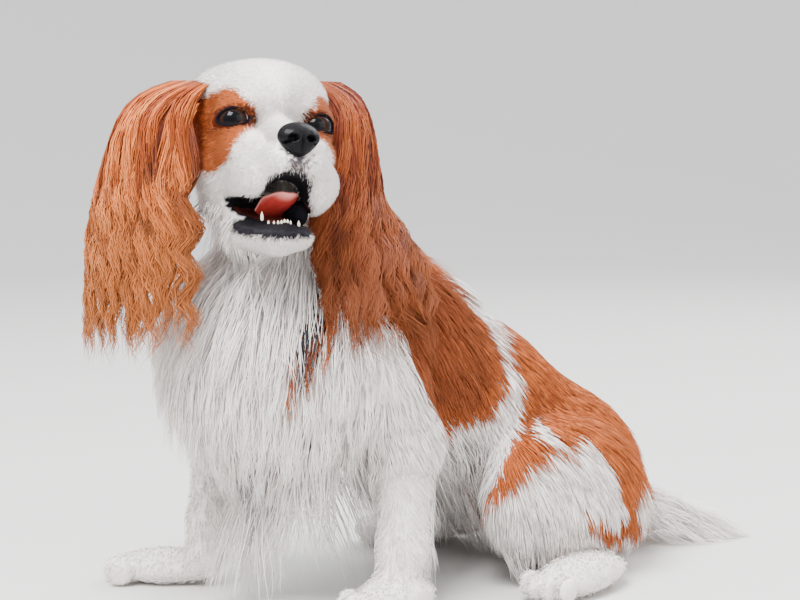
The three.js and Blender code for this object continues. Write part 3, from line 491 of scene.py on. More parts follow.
def tint_at(p, fine=0.06):
    """The coat's colour at its roots, a little uneven from hair to hair."""
    share = chestnut_share(p)[..., None]
    u, v = in_picture(p)
    # Painted shade and light: the saddle behind the shoulder is darker, partly its own deep red and partly
    # painted shade from the ear, and the rump is lighter as painted light.
    shaded_saddle = smooth(u, 505, 470) * smooth(v, 250, 300) * smooth(v, 430, 400) * (p[..., 2] < 290)
    rump = smooth(u, 530, 590)
    deep = smooth(wobble(p, 22, 21), -0.1, 0.9) * 0.35 * (1 - rump)
    deep = np.clip(deep + 0.75 * shaded_saddle, 0, 0.85)[..., None]
    red = CHESTNUT * (1 - deep) + DEEP * deep
    # Blond at random from hair to hair, and more on the rump as painted light.
    light = rng.normal(0.06, 0.10, share.shape) + 0.08 * rump[..., None]
    red = red + (BLOND - red) * np.clip(light, 0, 1)
    shadow_streak = inside_outline(u, v, SHADOW_STREAK)[..., None]
    colour = WHITE * (1 - share) + red * share
    # Painted shade: most hairs inside the shadowed streak are painted black.
    colour = np.where(shadow_streak & (rng.random(share.shape) < 0.85), BLACK * 5, colour)
    q = to_head(p)
    under_nose = (q[..., 1] < -52) & (q[..., 2] < -30) & (q[..., 2] > -62)
    under_nose = under_nose * 0.75 * (1 - smooth(np.abs(q[..., 0]), 2, 16))
    lip = mouth_form(q.astype(F))
    chin = ((q[..., 2] < -72) & (q[..., 1] < -20)) * (1 - smooth(lip, 10.5, 17))
    # The hairs at the upper lip's edge are painted black: partly the lip's own black, partly painted shade
    # where they hang across the open mouth.
    shade_fringe = (np.abs(q[..., 0] + 4) < 17) & (q[..., 1] < -46) & (q[..., 2] > -64) & (q[..., 2] < -38)
    shade_fringe = shade_fringe * 0.85 * (1 - smooth(lip, 2.5, 7))
    speck = rng.random(p.shape[:-1]) < np.maximum(np.maximum(under_nose, shade_fringe), chin)
    grey = np.where((np.maximum(chin, shade_fringe) > 0.6)[..., None], BLACK * 3, SPECK)
    colour = np.where(speck[..., None], grey, colour)
    e = eye_side(q)
    lashes = (between_lids(e) < 4.2) & (e[..., 1] < 0) & (np.linalg.norm(e, axis=-1) < EYE_RADIUS + 9)
    colour = np.where((lashes & (rng.random(p.shape[:-1]) < 0.7))[..., None], DEEP * 0.5, colour)
    return np.clip(colour * (1 + rng.normal(0, fine, share.shape)), 0.004, 0.93)


# Meshes from arrays
EYE_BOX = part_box("eye_left")
SHIFT = 1000 * (np.array(EYE_BOX[0]) + np.array(EYE_BOX[1])) / 2 - from_head(EYE_AT)


def make_mesh(name, points, faces, tint=None, uv=None):
    points = np.asarray(points, float)
    faces = np.asarray(faces, np.int32)
    mesh = bpy.data.meshes.new(name)
    mesh.vertices.add(len(points))
    mesh.vertices.foreach_set("co", ((points + SHIFT) / 1000).astype(F).ravel())
    corners = faces.shape[1]
    mesh.loops.add(faces.size)
    mesh.loops.foreach_set("vertex_index", faces.ravel())
    mesh.polygons.add(len(faces))
    mesh.polygons.foreach_set("loop_start", np.arange(0, faces.size, corners, dtype=np.int32))
    mesh.polygons.foreach_set("use_smooth", np.full(len(faces), True))
    mesh.update(calc_edges=True)
    if tint is not None:
        layer = mesh.color_attributes.new("tint", "FLOAT_COLOR", "POINT")
        rgba = np.concatenate([tint, np.ones((len(tint), 1))], 1)
        layer.data.foreach_set("color", rgba.astype(F).ravel())
    if uv is not None:
        layer = mesh.uv_layers.new(name="OFBake")
        layer.data.foreach_set("uv", uv[faces.ravel()].astype(F).ravel())
    obj = bpy.data.objects.new(name, mesh)
    bpy.context.scene.collection.objects.link(obj)
    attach(obj, "root")
    return obj


# The unwrap's tiles: which points, the upright line they lie round, their heights, and the tile
TILES = (
    ("trunk", (8.0, 150.0), (0, 400), (0.0, 0.0, 1.0, 0.5)),
    ("head", (18.0, -44.0), (255, 430), (0.0, 0.5, 0.5, 1.0)),
    ("left leg", (75.0, 28.0), (0, 130), (0.5, 0.5, 0.75, 1.0)),
    ("right leg", (-92.0, -28.0), (0, 130), (0.75, 0.5, 1.0, 1.0)),
)
TILE_MARGIN = 0.006
TILE_TRIM = 0.014


def unwrapped(p):
    """Where roots lie on an unwrap of the skin: the head, trunk and forelegs each in a tile."""
    f = p @ FRONT_FRAME
    q = to_head(p)
    tile = np.zeros(len(p), int)
    tile[over_neck(q) > -58] = 1
    foreleg = (p[:, 2] < 130) & (f[:, 1] < 62) & (np.abs(f[:, 0]) > 52)
    tile[foreleg & (f[:, 0] > 0)] = 2
    tile[foreleg & (f[:, 0] < 0)] = 3
    out = np.zeros((len(p), 2))
    for i, (_, centre, (low, high), (u0, v0, u1, v1)) in enumerate(TILES):
        bearing = np.arctan2(p[:, 1] - centre[1], p[:, 0] - centre[0]) / (2 * math.pi) + 0.5
        height = np.clip((p[:, 2] - low) / (high - low), 0, 1)
        across = u0 + TILE_MARGIN + (u1 - u0 - TILE_TRIM) * bearing
        up = v0 + TILE_MARGIN + (v1 - v0 - TILE_TRIM) * height
        out = np.where((tile == i)[:, None], np.stack([across, up], -1), out)
    return out


# A hair's own patch of the unwrap, at its root's place
PATCH = 0.003
# How far hairs reach aside before they bend in, a little inside the solids' box
REACH = 1000 * CAD_BOX[1][0] - 2


def coat(name, paths, faces, width, tint, unwrap, material, tip=None, painted_root_shade=0.72):
    """Tapered three-sided hairs, each along its own path, in one mesh a piece."""
    n, steps = paths.shape[0], paths.shape[1]
    side = paths[..., 0] + SHIFT[0]
    past = np.abs(side) - REACH
    paths[..., 0] -= np.sign(side) * np.maximum(past, 0) * 0.7
    along = np.empty_like(paths)
    along[:, 1:-1] = paths[:, 2:] - paths[:, :-2]
    along[:, 0] = paths[:, 1] - paths[:, 0]
    along[:, -1] = paths[:, -1] - paths[:, -2]
    along = unit(along)
    across = unit(np.cross(along, faces[:, None, :]))
    out = np.cross(across, along)
    t = np.linspace(0, 1, steps)
    taper = (np.sqrt(1 - t * 0.98) * (0.75 + 0.5 * t * (1 - t) * 2))[None, :, None]
    half = width[:, None, None] / 2 * taper
    ring = np.stack([paths - across * half, paths + out * half * 0.7, paths + across * half], 2)
    body = ring[:, :-1].reshape(n, -1, 3)
    points = np.concatenate([body, paths[:, -1:]], 1)
    each = points.shape[1]
    tris = [[0, 2, 1]]
    for k in range(steps - 2):
        for i in range(3):
            a, b = 3 * k + i, 3 * k + (i + 1) % 3
            tris += [[a, b, b + 3], [a, b + 3, a + 3]]
    last = 3 * (steps - 2)
    tris += [[last + i, last + (i + 1) % 3, each - 1] for i in range(3)]
    tris = np.array(tris)
    station = np.concatenate([np.repeat(np.arange(steps - 1), 3), [steps - 1]]) / (steps - 1)
    sides = np.concatenate([np.tile([0.0, 0.5, 1.0], steps - 1), [0.5]])
    ends = tint if tip is None else tip
    colour = tint[:, None] * (1 - station[None, :, None]) + ends[:, None] * station[None, :, None]
    # Painted shade: each hair is darker towards its root, standing in for the shadow among the hairs around
    # it.
    root_shade = (painted_root_shade + (1 - painted_root_shade) * smooth(station, 0, 0.35))[None, :, None]
    colour = colour * root_shade
    patch = np.stack([sides, station], -1) * PATCH
    uv = unwrap[:, None] + patch[None]
    most = MOST_TRIANGLES // len(tris)
    pieces = []
    count = math.ceil(n / most)
    for i, part in enumerate(np.array_split(np.arange(n), count)):
        corner = (tris[None] + each * np.arange(len(part))[:, None, None]).reshape(-1, 3)
        piece = make_mesh(
            f"{name}_{i + 1}" if count > 1 else name,
            points[part].reshape(-1, 3),
            corner,
            colour[part].reshape(-1, 3),
            uv[part].reshape(-1, 2),
        )
        piece.data.materials.append(material)
        pieces.append(piece)
    return pieces


def clumped(paths, roots, share, spacing):
    """Draws each hair towards its nearest guide hair, more so towards the tips."""
    n = len(roots)
    count = max(int(n / spacing), 1)
    chosen = rng.choice(n, count, replace=False)
    tree = kdtree.KDTree(count)
    for i, c in enumerate(chosen):
        tree.insert(Vector(roots[c]), i)
    tree.balance()
    guide = np.array([chosen[tree.find(Vector(r))[1]] for r in roots])
    t = np.linspace(0, 1, paths.shape[1])[None, :, None]
    pull = np.asarray(share).reshape(-1, 1, 1) * t ** 0.8
    offset = (roots - roots[guide])[:, None] * (1 - t) * 0.5
    return paths * (1 - pull) + (paths[guide] + offset) * pull, guide


# Shader nodes
class Socket:
    """A shader value that can be added and multiplied."""

    def __init__(self, shader, socket):
        self.shader = shader
        self.socket = socket

    def math(self, kind, other, flipped=False):
        pair = (other, self) if flipped else (self, other)
        return self.shader.node("ShaderNodeMath", {0: pair[0], 1: pair[1]}, operation=kind)

    def __add__(self, other):
        return self.math("ADD", other)

    def __radd__(self, other):
        return self.math("ADD", other, True)

    def __sub__(self, other):
        return self.math("SUBTRACT", other)

    def __rsub__(self, other):
        return self.math("SUBTRACT", other, True)

    def __mul__(self, other):
        return self.math("MULTIPLY", other)

    def __rmul__(self, other):
        return self.math("MULTIPLY", other, True)


class Shader:
    """A material with one Principled surface."""

    def __init__(self, name, **constants):
        self.material = bpy.data.materials.new(name)
        self.material.use_nodes = True
        self.tree = self.material.node_tree
        self.surface = self.tree.nodes["Principled BSDF"]
        self.give(self.surface, {k.replace("_", " "): v for k, v in constants.items()})

    def give(self, node, inputs):
        for key, value in inputs.items():
            if isinstance(value, Socket):
                self.tree.links.new(value.socket, node.inputs[key])
            else:
                node.inputs[key].default_value = value

    def node(self, kind, inputs=None, out=0, **settings):
        node = self.tree.nodes.new(kind)
        for key, value in settings.items():
            setattr(node, key, value)
        self.give(node, inputs or {})
        return Socket(self, node.outputs[out])

    def set(self, **inputs):
        self.give(self.surface, {k.replace("_", " "): v for k, v in inputs.items()})

    def place(self):
        return self.node("ShaderNodeTexCoord", out="Object")

    def noise(self, scale, detail=2.0):
        return self.node("ShaderNodeTexNoise", {"Vector": self.place(), "Scale": scale, "Detail": detail})

    def tint(self, amount, scale):
        colour = self.node("ShaderNodeAttribute", out="Color", attribute_name="tint")
        level = self.noise(scale) * (2 * amount) + (1 - amount)
        return self.node("ShaderNodeVectorMath", {0: colour, 1: level}, operation="MULTIPLY")

    def bump(self, height, strength, distance):
        return self.node(
            "ShaderNodeBump", {"Height": height, "Strength": strength, "Distance": distance}
        )


def hair_material(name, roughness):
    shader = Shader(name, Specular_IOR_Level=0.16)
    shader.set(Base_Color=shader.tint(0.12, 90.0), Roughness=shader.noise(400.0) * 0.2 + roughness)
    return shader.material


def skin_material():
    shader = Shader("skin", Specular_IOR_Level=0.1)
    fibres = shader.noise(700.0, 3.0)
    shader.set(
        Base_Color=shader.tint(0.15, 300.0),
        Roughness=fibres * 0.2 + 0.6,
        Normal=shader.bump(fibres, 0.5, 0.0012),
    )
    return shader.material


def wet_material(name, roughness, bump_scale, depth, weight):
    shader = Shader(name, Specular_IOR_Level=0.06, Coat_Weight=weight, Coat_Roughness=0.15)
    grain = shader.node("ShaderNodeTexVoronoi", {"Vector": shader.place(), "Scale": bump_scale})
    shader.set(
        Base_Color=shader.tint(0.2, 250.0),
        Roughness=shader.noise(500.0) * 0.2 + roughness,
        Normal=shader.bump(grain, 0.6, depth),
    )
    return shader.material


HAIR = hair_material("coat", 0.5)
EAR_HAIR = hair_material("ear coat", 0.42)
SKIN = skin_material()
LEATHER = wet_material("nose leather", 0.4, 850.0, 0.0005, 0.09)
FLESH = wet_material("mouth flesh", 0.3, 600.0, 0.0004, 0.5)
LID_SKIN = Shader("lid", Roughness=0.7, Specular_IOR_Level=0.0)
LID_SKIN.set(Base_Color=LID_SKIN.tint(0.15, 300.0))
EYE = Shader("eye", Roughness=0.1, Specular_IOR_Level=0.05, Coat_Weight=0.14, Coat_Roughness=0.02)
EYE.set(Base_Color=EYE.tint(0.1, 900.0))
IVORY = Shader("teeth", Roughness=0.25, Coat_Weight=0.4)
IVORY.set(Base_Color=IVORY.tint(0.08, 400.0))

# Skin: one closed surface under all the flesh nodes
values = fine_grid(skin_form, GRID_STEP)
skin_points, skin_quads = net(values, GRID_STEP)
BODY_FIELD = Field(body_form)
WHOLE_FIELD = Field(skin_form)


def mouth_hollow(q):
    """The room between the tongue and the lips, where no hair grows."""
    q = q.astype(F)
    return np.minimum(egg(q, (-5, -46, -65), (17, 36, 12.5)), egg(q, (13, -24, -66), (17, 31, 12)))


def skin_tint(p):
    q = to_head(p)
    colour = tint_at(p, 0.03) * 0.9
    lip = mouth_form(q.astype(F))
    front = (q[:, 1] < -10)
    low_lip = q[:, 2] < -70
    colour = np.where((front & (lip < np.where(low_lip, 8.0, 3.3)))[:, None], BLACK, colour)
    # Painted shade: the skin inside the mouth's hollow is painted black.
    colour = np.where((mouth_hollow(q) < 0)[:, None], BLACK, colour)
    inner = front & (lip < 2.1) & (q[:, 2] < -60)
    colour = np.where(inner[:, None], MOUTH_RED, colour)
    e = eye_side(q)
    rim = (between_lids(e) < 2.0) & (e[:, 1] < 0) & (np.linalg.norm(e, axis=-1) < EYE_RADIUS + 5)
    return np.where(rim[:, None], BLACK * 1.5, colour)


skin = make_mesh("skin", skin_points, skin_quads, skin_tint(skin_points))
skin.data.materials.append(SKIN)
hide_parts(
    "head", "lower_jaw", "neck", "chest", "torso", "rump", "tail", "forearm_left",
    "forearm_right", "upper_arm_left", "upper_arm_right", "front_paw_left", "front_paw_right",
    "thigh_left", "thigh_right", "hind_foot_left", "hind_foot_right",
)


# Eyes and lids
def eye_frame(side):
    return HEAD_FRAME @ turn(z=side * EYE_OUTWARD)


def ball(rows, columns):
    a = np.linspace(0, math.pi, rows + 1)[:, None]
    b = np.linspace(0, 2 * math.pi, columns, endpoint=False)[None]
    points = np.stack(
        [np.sin(a) * np.cos(b), -np.cos(a) + 0 * b, np.sin(a) * np.sin(b)], -1
    ).reshape(-1, 3)
    return points, sheet_faces(rows + 1, columns)


def sheet_faces(rows, columns):
    """Quads over rows of points, each row closed in a ring."""
    i = np.arange(rows - 1)[:, None]
    j = np.arange(columns)[None]
    a = i * columns + j
    b = i * columns + (j + 1) % columns
    return np.stack([a, a + columns, b + columns, b], -1).reshape(-1, 4)


for name, side in (("left", 1), ("right", -1)):
    centre = from_head(EYE_AT * (side, 1, 1))
    gaze = unit(CAMERA_AT + np.array([0, 0, 60.0]) - centre) * 0.75 + HEAD_FRAME @ [0, -0.25, 0]
    gaze = unit(gaze - CAMERA_RIGHT * 0.10)
    points, faces = ball(56, 72)
    aside = unit(np.cross(gaze, [0, 0, 1.0]))
    R = np.stack([aside, -gaze, np.cross(aside, gaze)], 1)
    bulge = 1 + 0.05 * np.exp(-((1 + points[:, 1]) / 0.12) ** 2)
    world = (points * (EYE_RADIUS * bulge)[:, None]) @ R.T + centre
    from_axis = np.degrees(np.arccos(np.clip(-points[:, 1], -1, 1)))
    tint = np.where((from_axis < 30)[:, None], BLACK * 0.4, IRIS)
    tint = np.where((from_axis > 56)[:, None], BLACK * 1.2, tint)
    white = EYE_WHITE if side < 0 else BLACK * 2
    tint = np.where((from_axis > 60)[:, None], white, tint)
    eye = make_mesh(f"eye_{name}_ball", world, faces, tint)
    eye.data.materials.append(EYE.material)
    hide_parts(f"eye_{name}")

    count = 72
    a = np.linspace(0, 2 * math.pi, count, endpoint=False)
    up = np.sin(a) > 0
    rings = []
    profile = ((-0.5, 0.1), (-0.4, 0.7), (0.1, 1.3), (0.7, 1.65), (1.3, 1.8), (2.2, 1.7), (3.4, 0.9))
    for grow, lift in profile:
        x = (EYE_OPENING[0] * 0.9 + grow) * np.cos(a)
        z = (EYE_OPENING[1] * np.where(up, 0.92, 0.78) + grow) * np.sin(a) - 0.10 * x
        radius = EYE_RADIUS + lift
        y = 0.3 - np.sqrt(np.maximum(radius ** 2 - x * x - z * z, 1))
        rings.append(np.stack([side * x, y, z], -1) @ eye_frame(side).T + centre)
    points = np.concatenate(rings)
    tint = np.repeat(BLACK[None] * 1.3, len(points), 0)
    tint[count * 5:] = DEEP * 0.5
    faces = sheet_faces(len(profile), count)
    lid = make_mesh(f"lids_{name}", points, faces if side > 0 else faces[:, ::-1], tint)
    lid.data.materials.append(LID_SKIN.material)

# Nose
points, faces = ball(72, 96)
x, y, z = points.T
narrow = 1 - 0.38 * np.clip(-z, 0, 1)
square = 1 + 0.1 * np.clip(z, 0, 1)
q = np.stack([
    x * NOSE_RADII[0] * narrow * square,
    y * NOSE_RADII[1],
    z * NOSE_RADII[2] + 2 * np.clip(z, 0, 1) * y,
], -1) * 0.99
for side in (1, -1):
    hole = np.array([side * 6.6, -9.5, -1.2])
    reach = np.linalg.norm((q - hole) / np.array([4.2, 6.0, 3.0]), axis=-1)
    q[:, 1] += 6.0 * (1 - smooth(reach, 0.55, 1.05))
    slit = np.array([side * 11.5, -6, -3.4])
    reach = np.linalg.norm((q - slit) / np.array([4.2, 6.0, 1.5]), axis=-1)
    q += np.array([-side * 2.6, 2.6, 0]) * (1 - smooth(reach, 0.5, 1.1))[:, None]
groove = np.exp(-((q[:, 0] / 0.9) ** 2)) * smooth(q[:, 2], 2, -3)
q[:, 1] += 1.6 * groove * (q[:, 1] < 0)
nose = make_mesh("nose_leather", from_head(q + NOSE_AT), faces, np.repeat(BLACK[None] * 0.6, len(q), 0))
nose.data.materials.append(LEATHER)
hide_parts("nose")

# Tongue and teeth
rows, columns = 34, 40
t = np.linspace(0, 1, rows)[:, None]
a = np.linspace(0, 2 * math.pi, columns, endpoint=False)[None]
full = np.sqrt(np.maximum(1 - (np.maximum(t - 0.35, 0) / 0.65) ** 2, 1e-6))
half = 13 * full
trough = 3 * full * np.cos(a) ** 2 + 0.6 * np.sin(9 * t + 2 * np.cos(a)) * np.abs(np.cos(a)) ** 3
q = np.stack([
    -3 + half * np.cos(a),
    -33 - 35 * t + 0 * a,
    -66.5 + 7 * np.sin(t * 1.35) + 4.0 * (0.25 + 0.75 * full) * full ** 0.3 * np.sin(a) + trough,
], -1)
rim = np.abs(np.cos(a)) ** 8 * (np.sin(a) > -0.3) + smooth(t, 0.72, 0.97)
rim = np.clip(rim + 0 * t, 0, 1)[..., None]
tint = TONGUE_RED * (1 - rim) + TONGUE_EDGE * rim
tongue = make_mesh(
    "tongue_flesh", from_head(q.reshape(-1, 3)), sheet_faces(rows, columns), tint.reshape(-1, 3)
)
tongue.data.materials.append(FLESH)
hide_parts("tongue")

# A matte black ball behind the far lip: painted shade inside the open mouth
SHADE_BALL_AT = np.array([11.5, -41.0, -68.0])
SHADE_BALL_RADII = np.array([8.5, 15.0, 10.0])
points, faces = ball(24, 32)
shade_ball = from_head(points * SHADE_BALL_RADII + SHADE_BALL_AT)
shade_ball = make_mesh("mouth_lining", shade_ball, faces, np.repeat(BLACK[None] * 1.5, len(points), 0))
shade_ball.data.materials.append(LID_SKIN.material)

# Two fangs and the front teeth: place along the jaw, width and height
teeth = [(-14, -59, -74.5, 1.6, 7), (14, -57, -78, 1.5, 5)]
for x in (-9.5, -6.5, -4, -1.8, 0.4, 2.8, 5.6):
    wide = 1.1 + 0.15 * math.sin(x * 3)
    teeth.append((x, -65 + x * x * 0.06, -79 + 0.6 * math.sin(x * 5), wide, 3))
points, faces = ball(16, 14)
for i, (x, y, z, wide, tall) in enumerate(teeth):
    tooth = points[:, [0, 2, 1]] * np.array([1, 1, -1])
    narrow = np.sqrt(np.clip(1 - (tooth[:, 2:] + 1) / 2.1, 0.02, 1))
    squeeze = np.concatenate([narrow, narrow, narrow * 0 + 1], 1)
    tooth = tooth * np.array([wide, wide * 0.8, tall / 2]) * squeeze
    tooth = tooth + np.array([JAW_SHIFT + x, y, z])
    tint = np.repeat(TOOTH[None], len(tooth), 0)
    piece = make_mesh(f"tooth_{i + 1}", from_head(tooth), faces, tint)
    piece.data.materials.append(IVORY.material)

# The coat over the skin
quad_points = skin_points[skin_quads]
cross = np.cross(quad_points[:, 2] - quad_points[:, 0], quad_points[:, 3] - quad_points[:, 1])
quad_area = np.linalg.norm(cross, axis=-1) / 2
quad_normal = unit(cross)
quad_centre = quad_points.mean(1)


def hang_direction(p, n):
    """The way the coat lies: back from the nose over the head, down and back over the trunk."""
    q = to_head(p)
    x, y, z = q.T
    aside = np.tanh(x / 9) * (0.25 + 0.010 * np.abs(x))
    up = 0.25 - 0.012 * (40 - z)
    local = np.stack([aside, np.full_like(x, 1.0), up], -1)
    local[y < -48] = local[y < -48] * np.array([1.6, 1, 1])
    under = smooth(z, -50, -75)[:, None]
    local = local * (1 - under) + np.array([0, 0.8, -0.7]) * under
    head = unit(local) @ HEAD_FRAME.T
    f = p @ FRONT_FRAME
    ahead = smooth(f[:, 1], 20, -40)[:, None]
    trunk = np.array([0.0, 0.85, -0.75]) * (1 - ahead) + np.array([0.0, -0.15, -1.0]) * ahead
    flank = smooth(np.abs(p[:, 0] - 8), 30, 70)[:, None] * (1 - ahead)
    trunk = trunk * (1 - 0.6 * flank) + np.array([0.0, 0.45, -1.0]) * 0.6 * flank
    low = smooth(p[:, 2], 110, 60)[:, None]
    trunk = trunk * (1 - low) + np.array([0.0, 0.22, -1.0]) * low
    feet = smooth(p[:, 2], 42, 26)[:, None]
    trunk = trunk * (1 - feet) + np.array([0.1, -1.0, -0.35]) * feet
    tail = smooth(p[:, 1], 312, 335)[:, None]
    side = np.sign(p[:, 0] - (28 + 0.27 * (p[:, 1] - 312)))[:, None]
    along = np.array([0.25, 1.0, -0.1]) + side * np.array([0.45, 0, 0])
    trunk = trunk * (1 - tail) + along * tail
    on_head = smooth(over_neck(q), -58, -40)[:, None]
    way = unit(head * on_head + unit(trunk) * (1 - on_head))
    return unit(way - n * (way * n).sum(-1, keepdims=True) * 0.92)


def hair_length(p, n):
    """How long the coat is: short on the face and feet, long on the bib, ruff, legs and tail."""
    q = to_head(p)
    x, y, z = q.T
    on_head = smooth(over_neck(q), -58, -40)
    head = 5.5 + 6 * smooth(y, -20, 35) + 6 * smooth(z, -20, -60) * smooth(y, -45, -10)
    head = head - 1.8 * smooth(y, -40, -60)
    head = head + 16 * smooth(z, -48, -70) * smooth(y, -34, -8)
    f = p @ FRONT_FRAME
    trunk = 24 + 6 * wobble(p, 40, 4)
    bib = smooth(f[:, 1], 25, -25) * smooth(np.abs(f[:, 0] - 6), 86, 48) * smooth(p[:, 2], 60, 120)
    trunk = trunk + 14 * smooth(f[:, 1], 25, -25) * smooth(p[:, 2], 150, 180)
    trunk = trunk + 24 * bib
    ruff = smooth(p[:, 2], 225, 255) * (1 - smooth(p[:, 2], 315, 335))
    trunk = trunk + 22 * ruff
    foreleg = smooth(p[:, 2], 128, 108) * smooth(f[:, 1], 75, 45) * smooth(np.abs(f[:, 0]), 50, 60)
    behind = smooth(n @ FRONT_FRAME[:, 1], 0.2, 0.8)
    trunk = trunk * (1 - foreleg) + (8 + 34 * behind) * foreleg
    belly = smooth(n[:, 2], -0.2, -0.7) * smooth(p[:, 2], 150, 120) * (1 - foreleg)
    trunk = trunk + 26 * belly
    rear = smooth(p[:, 1], 240, 290) * smooth(p[:, 2], 120, 80) * (1 - smooth(p[:, 1], 315, 330))
    trunk = trunk + 14 * rear
    feet = smooth(p[:, 2], 42, 30) * (1 - smooth(p[:, 1], 310, 325))
    trunk = trunk * (1 - feet) + 4.5 * feet
    tail = smooth(p[:, 1], 316, 345)
    trunk = trunk * (1 - tail) + 56 * tail
    return head * on_head + trunk * (1 - on_head)


def roots_on_skin(count, weight):
    """Seeded places on the skin and the way it faces there, denser where the weight is more."""
    share = quad_area * weight
    picked = rng.choice(len(share), count, p=share / share.sum())
    a, b = rng.random((2, count, 1))
    corner = quad_points[picked]
    low = corner[:, 0] * (1 - a) + corner[:, 1] * a
    high = corner[:, 3] * (1 - a) + corner[:, 2] * a
    return low * (1 - b) + high * b, quad_normal[picked]


length_there = hair_length(quad_centre, quad_normal)
q_there = to_head(quad_centre)
low_lip = q_there[:, 2] < -70
clear_of_mouth = (mouth_form(q_there.astype(F)) > np.where(low_lip, 7.4, 3.1)) & (mouth_hollow(q_there) > 0)
e_there = eye_side(q_there)
near_eye = (np.linalg.norm(e_there, axis=-1) < EYE_RADIUS + 5) & (e_there[:, 1] < 2)
clear_of_eyes = ~near_eye | (between_lids(e_there) > 1.6)
clear_of_nose = np.linalg.norm((q_there - NOSE_AT) / np.array([17.0, 13.0, 14.5]), axis=-1) > 1
haired = clear_of_mouth & clear_of_eyes & clear_of_nose & (quad_centre[:, 2] > 3)


def grow(roots, normals, length, steps, lift, fall, wave, share, spacing, thick):
    way = hang_direction(roots, normals)
    way = unit(way + rng.normal(0, 0.10, way.shape))
    paths = [roots - normals * 1.2]
    p = roots.copy()
    side = unit(np.cross(way, normals))
    layer = smooth(length, 20, 60) * rng.uniform(0, 11, len(roots))
    phase = rng.uniform(0, 6.3, len(roots))
    for i in range(1, steps):
        t = i / (steps - 1)
        tilt = lift * (1 - 0.8 * t)
        step = unit(way + normals * tilt[:, None] + np.array([0, 0, -1.0]) * (fall * t)[:, None])
        p = p + step * (length / (steps - 1))[:, None]
        p = WHOLE_FIELD.push(p, 1.0 + 1.5 * t + layer * min(2.5 * t, 1))
        p[:, 2] = np.maximum(p[:, 2], 1.2)
        swing = wave * np.sin(phase + t * 7.5) * t
        paths.append(p + side * swing[:, None])
    paths = np.stack(paths, 1)
    paths, guide = clumped(paths, roots, share, spacing)
    paths[..., 2] = np.maximum(paths[..., 2], 0.9)
    width = thick * rng.uniform(0.75, 1.2, len(roots))
    return paths, width, guide


def lay_coat(name, count, weight, steps, lift, fall, wave, share, spacing, thick, painted_root_shade, extra=0):
    """One kind of hair: where it grows, its stations, lift, fall, wave, clumping, width and the shade
    painted at its roots.
    """
    count = int(count * FULL)
    roots, normals = roots_on_skin(count, weight)
    length = (hair_length(roots, normals) + extra) * rng.uniform(0.75, 1.15, count)
    paths, width, guide = grow(
        roots, normals, length, steps, np.full(count, lift), np.full(count, fall),
        wave * smooth(length, 14, 50), share * (0.35 + 0.65 * smooth(length, 8, 30)), spacing, thick,
    )
    tint = tint_at(paths[:, -1] * 0.55 + paths[:, 0] * 0.45)
    tint = tint * rng.normal(1, 0.04, count)[guide][:, None]
    red = (tint[:, 2] < 0.3)[:, None]
    red &= tint[:, :1] > 0.06
    tip = np.where(red, tint * 0.85 + BLOND * 0.15, np.minimum(tint * 1.06, 0.93))
    coat(name, paths, normals, width, tint, unwrapped(roots), HAIR, tip, painted_root_shade)


FULL = 1.0
# Lengths that part the short, middle and long coat
SHORT = 13
LONG = 34
face = (over_neck(q_there) > -52) & (length_there < SHORT)
small = haired & (length_there < SHORT) & ~face
weight_face = (haired & face) * (1 + 1.2 * smooth(q_there[:, 1], -10, -50))
weight_middle = haired * (length_there >= SHORT) * (length_there < LONG)
weight_long = haired * (length_there >= LONG)
WIDE = 1.0
lay_coat(
    "coat_face", 56000, weight_face, steps=2, lift=0.16, fall=0.0, wave=0.0,
    share=0.15, spacing=5, thick=0.72 * WIDE, painted_root_shade=0.92,
)
lay_coat(
    "coat_short", 12000, small * 1.0, steps=3, lift=0.2, fall=0.0, wave=0.0,
    share=0.2, spacing=6, thick=0.95 * WIDE, painted_root_shade=0.85,
)
lay_coat(
    "coat_middle", 25000, weight_middle, steps=4, lift=0.17, fall=0.35, wave=1.0,
    share=0.45, spacing=12, thick=1.1 * WIDE, painted_root_shade=0.78,
)
lay_coat(
    "coat_long", 9000, weight_long, steps=7, lift=0.26, fall=0.9, wave=3.8,
    share=0.55, spacing=14, thick=0.95 * WIDE, painted_root_shade=0.88,
)
f_there = quad_centre @ FRONT_FRAME
between_legs = (np.abs(f_there[:, 0] - 20) < 42) & (f_there[:, 1] < 55) & (f_there[:, 1] > -58)
at_belly = (quad_centre[:, 2] > 92) & (quad_centre[:, 2] < 158) & (quad_normal[:, 2] < 0.35)
weight_curtain = (between_legs & at_belly) * 1.0
lay_coat(
    "coat_curtain", 1300, weight_curtain, steps=8, lift=0.1, fall=2.2, wave=5.0,
    share=0.5, spacing=14, thick=0.9 * WIDE, painted_root_shade=0.88, extra=58,
)

# Ears: a curved leather, and tiers of wavy hair over it
EAR_ROOT = np.array([49.0, 3.0, 37.0])
EAR_REACH = 190.0
EAR_LEATHER = 88.0
EAR_RISE = 12.0
EAR_WIDTH = 84.0
EAR_THICK = 6.0
EAR_CUP = 15.0
EAR_RAISED = 8.0
EAR_HANG = 5.0
EAR_FACING = (0.85, 0.55)
# What differs between the left ear, 1, and the right, -1: how far it stands away, near and low,
# how far it drifts ahead, and its painted shade along it and at the tips, the left ear painted darker as if
# in shadow
EAR_AWAY = {1: (15, -6), -1: (36, 4)}
EAR_AHEAD = {1: 24, -1: -8}
EAR_PAINTED_SHADE = {1: (0.46, 0.35, 0.32), -1: (1.0, 0.92, 0.80)}
EAR_TIP_PAINTED_SHADE = {1: 0.75, -1: 0.72}


def ear_axes(side):
    out = HEAD_FRAME @ [side, 0, 0]
    ahead = HEAD_FRAME @ [0, -1.0, 0]
    return unit(out * (1, 1, 0)), unit(ahead * (1, 1, 0))


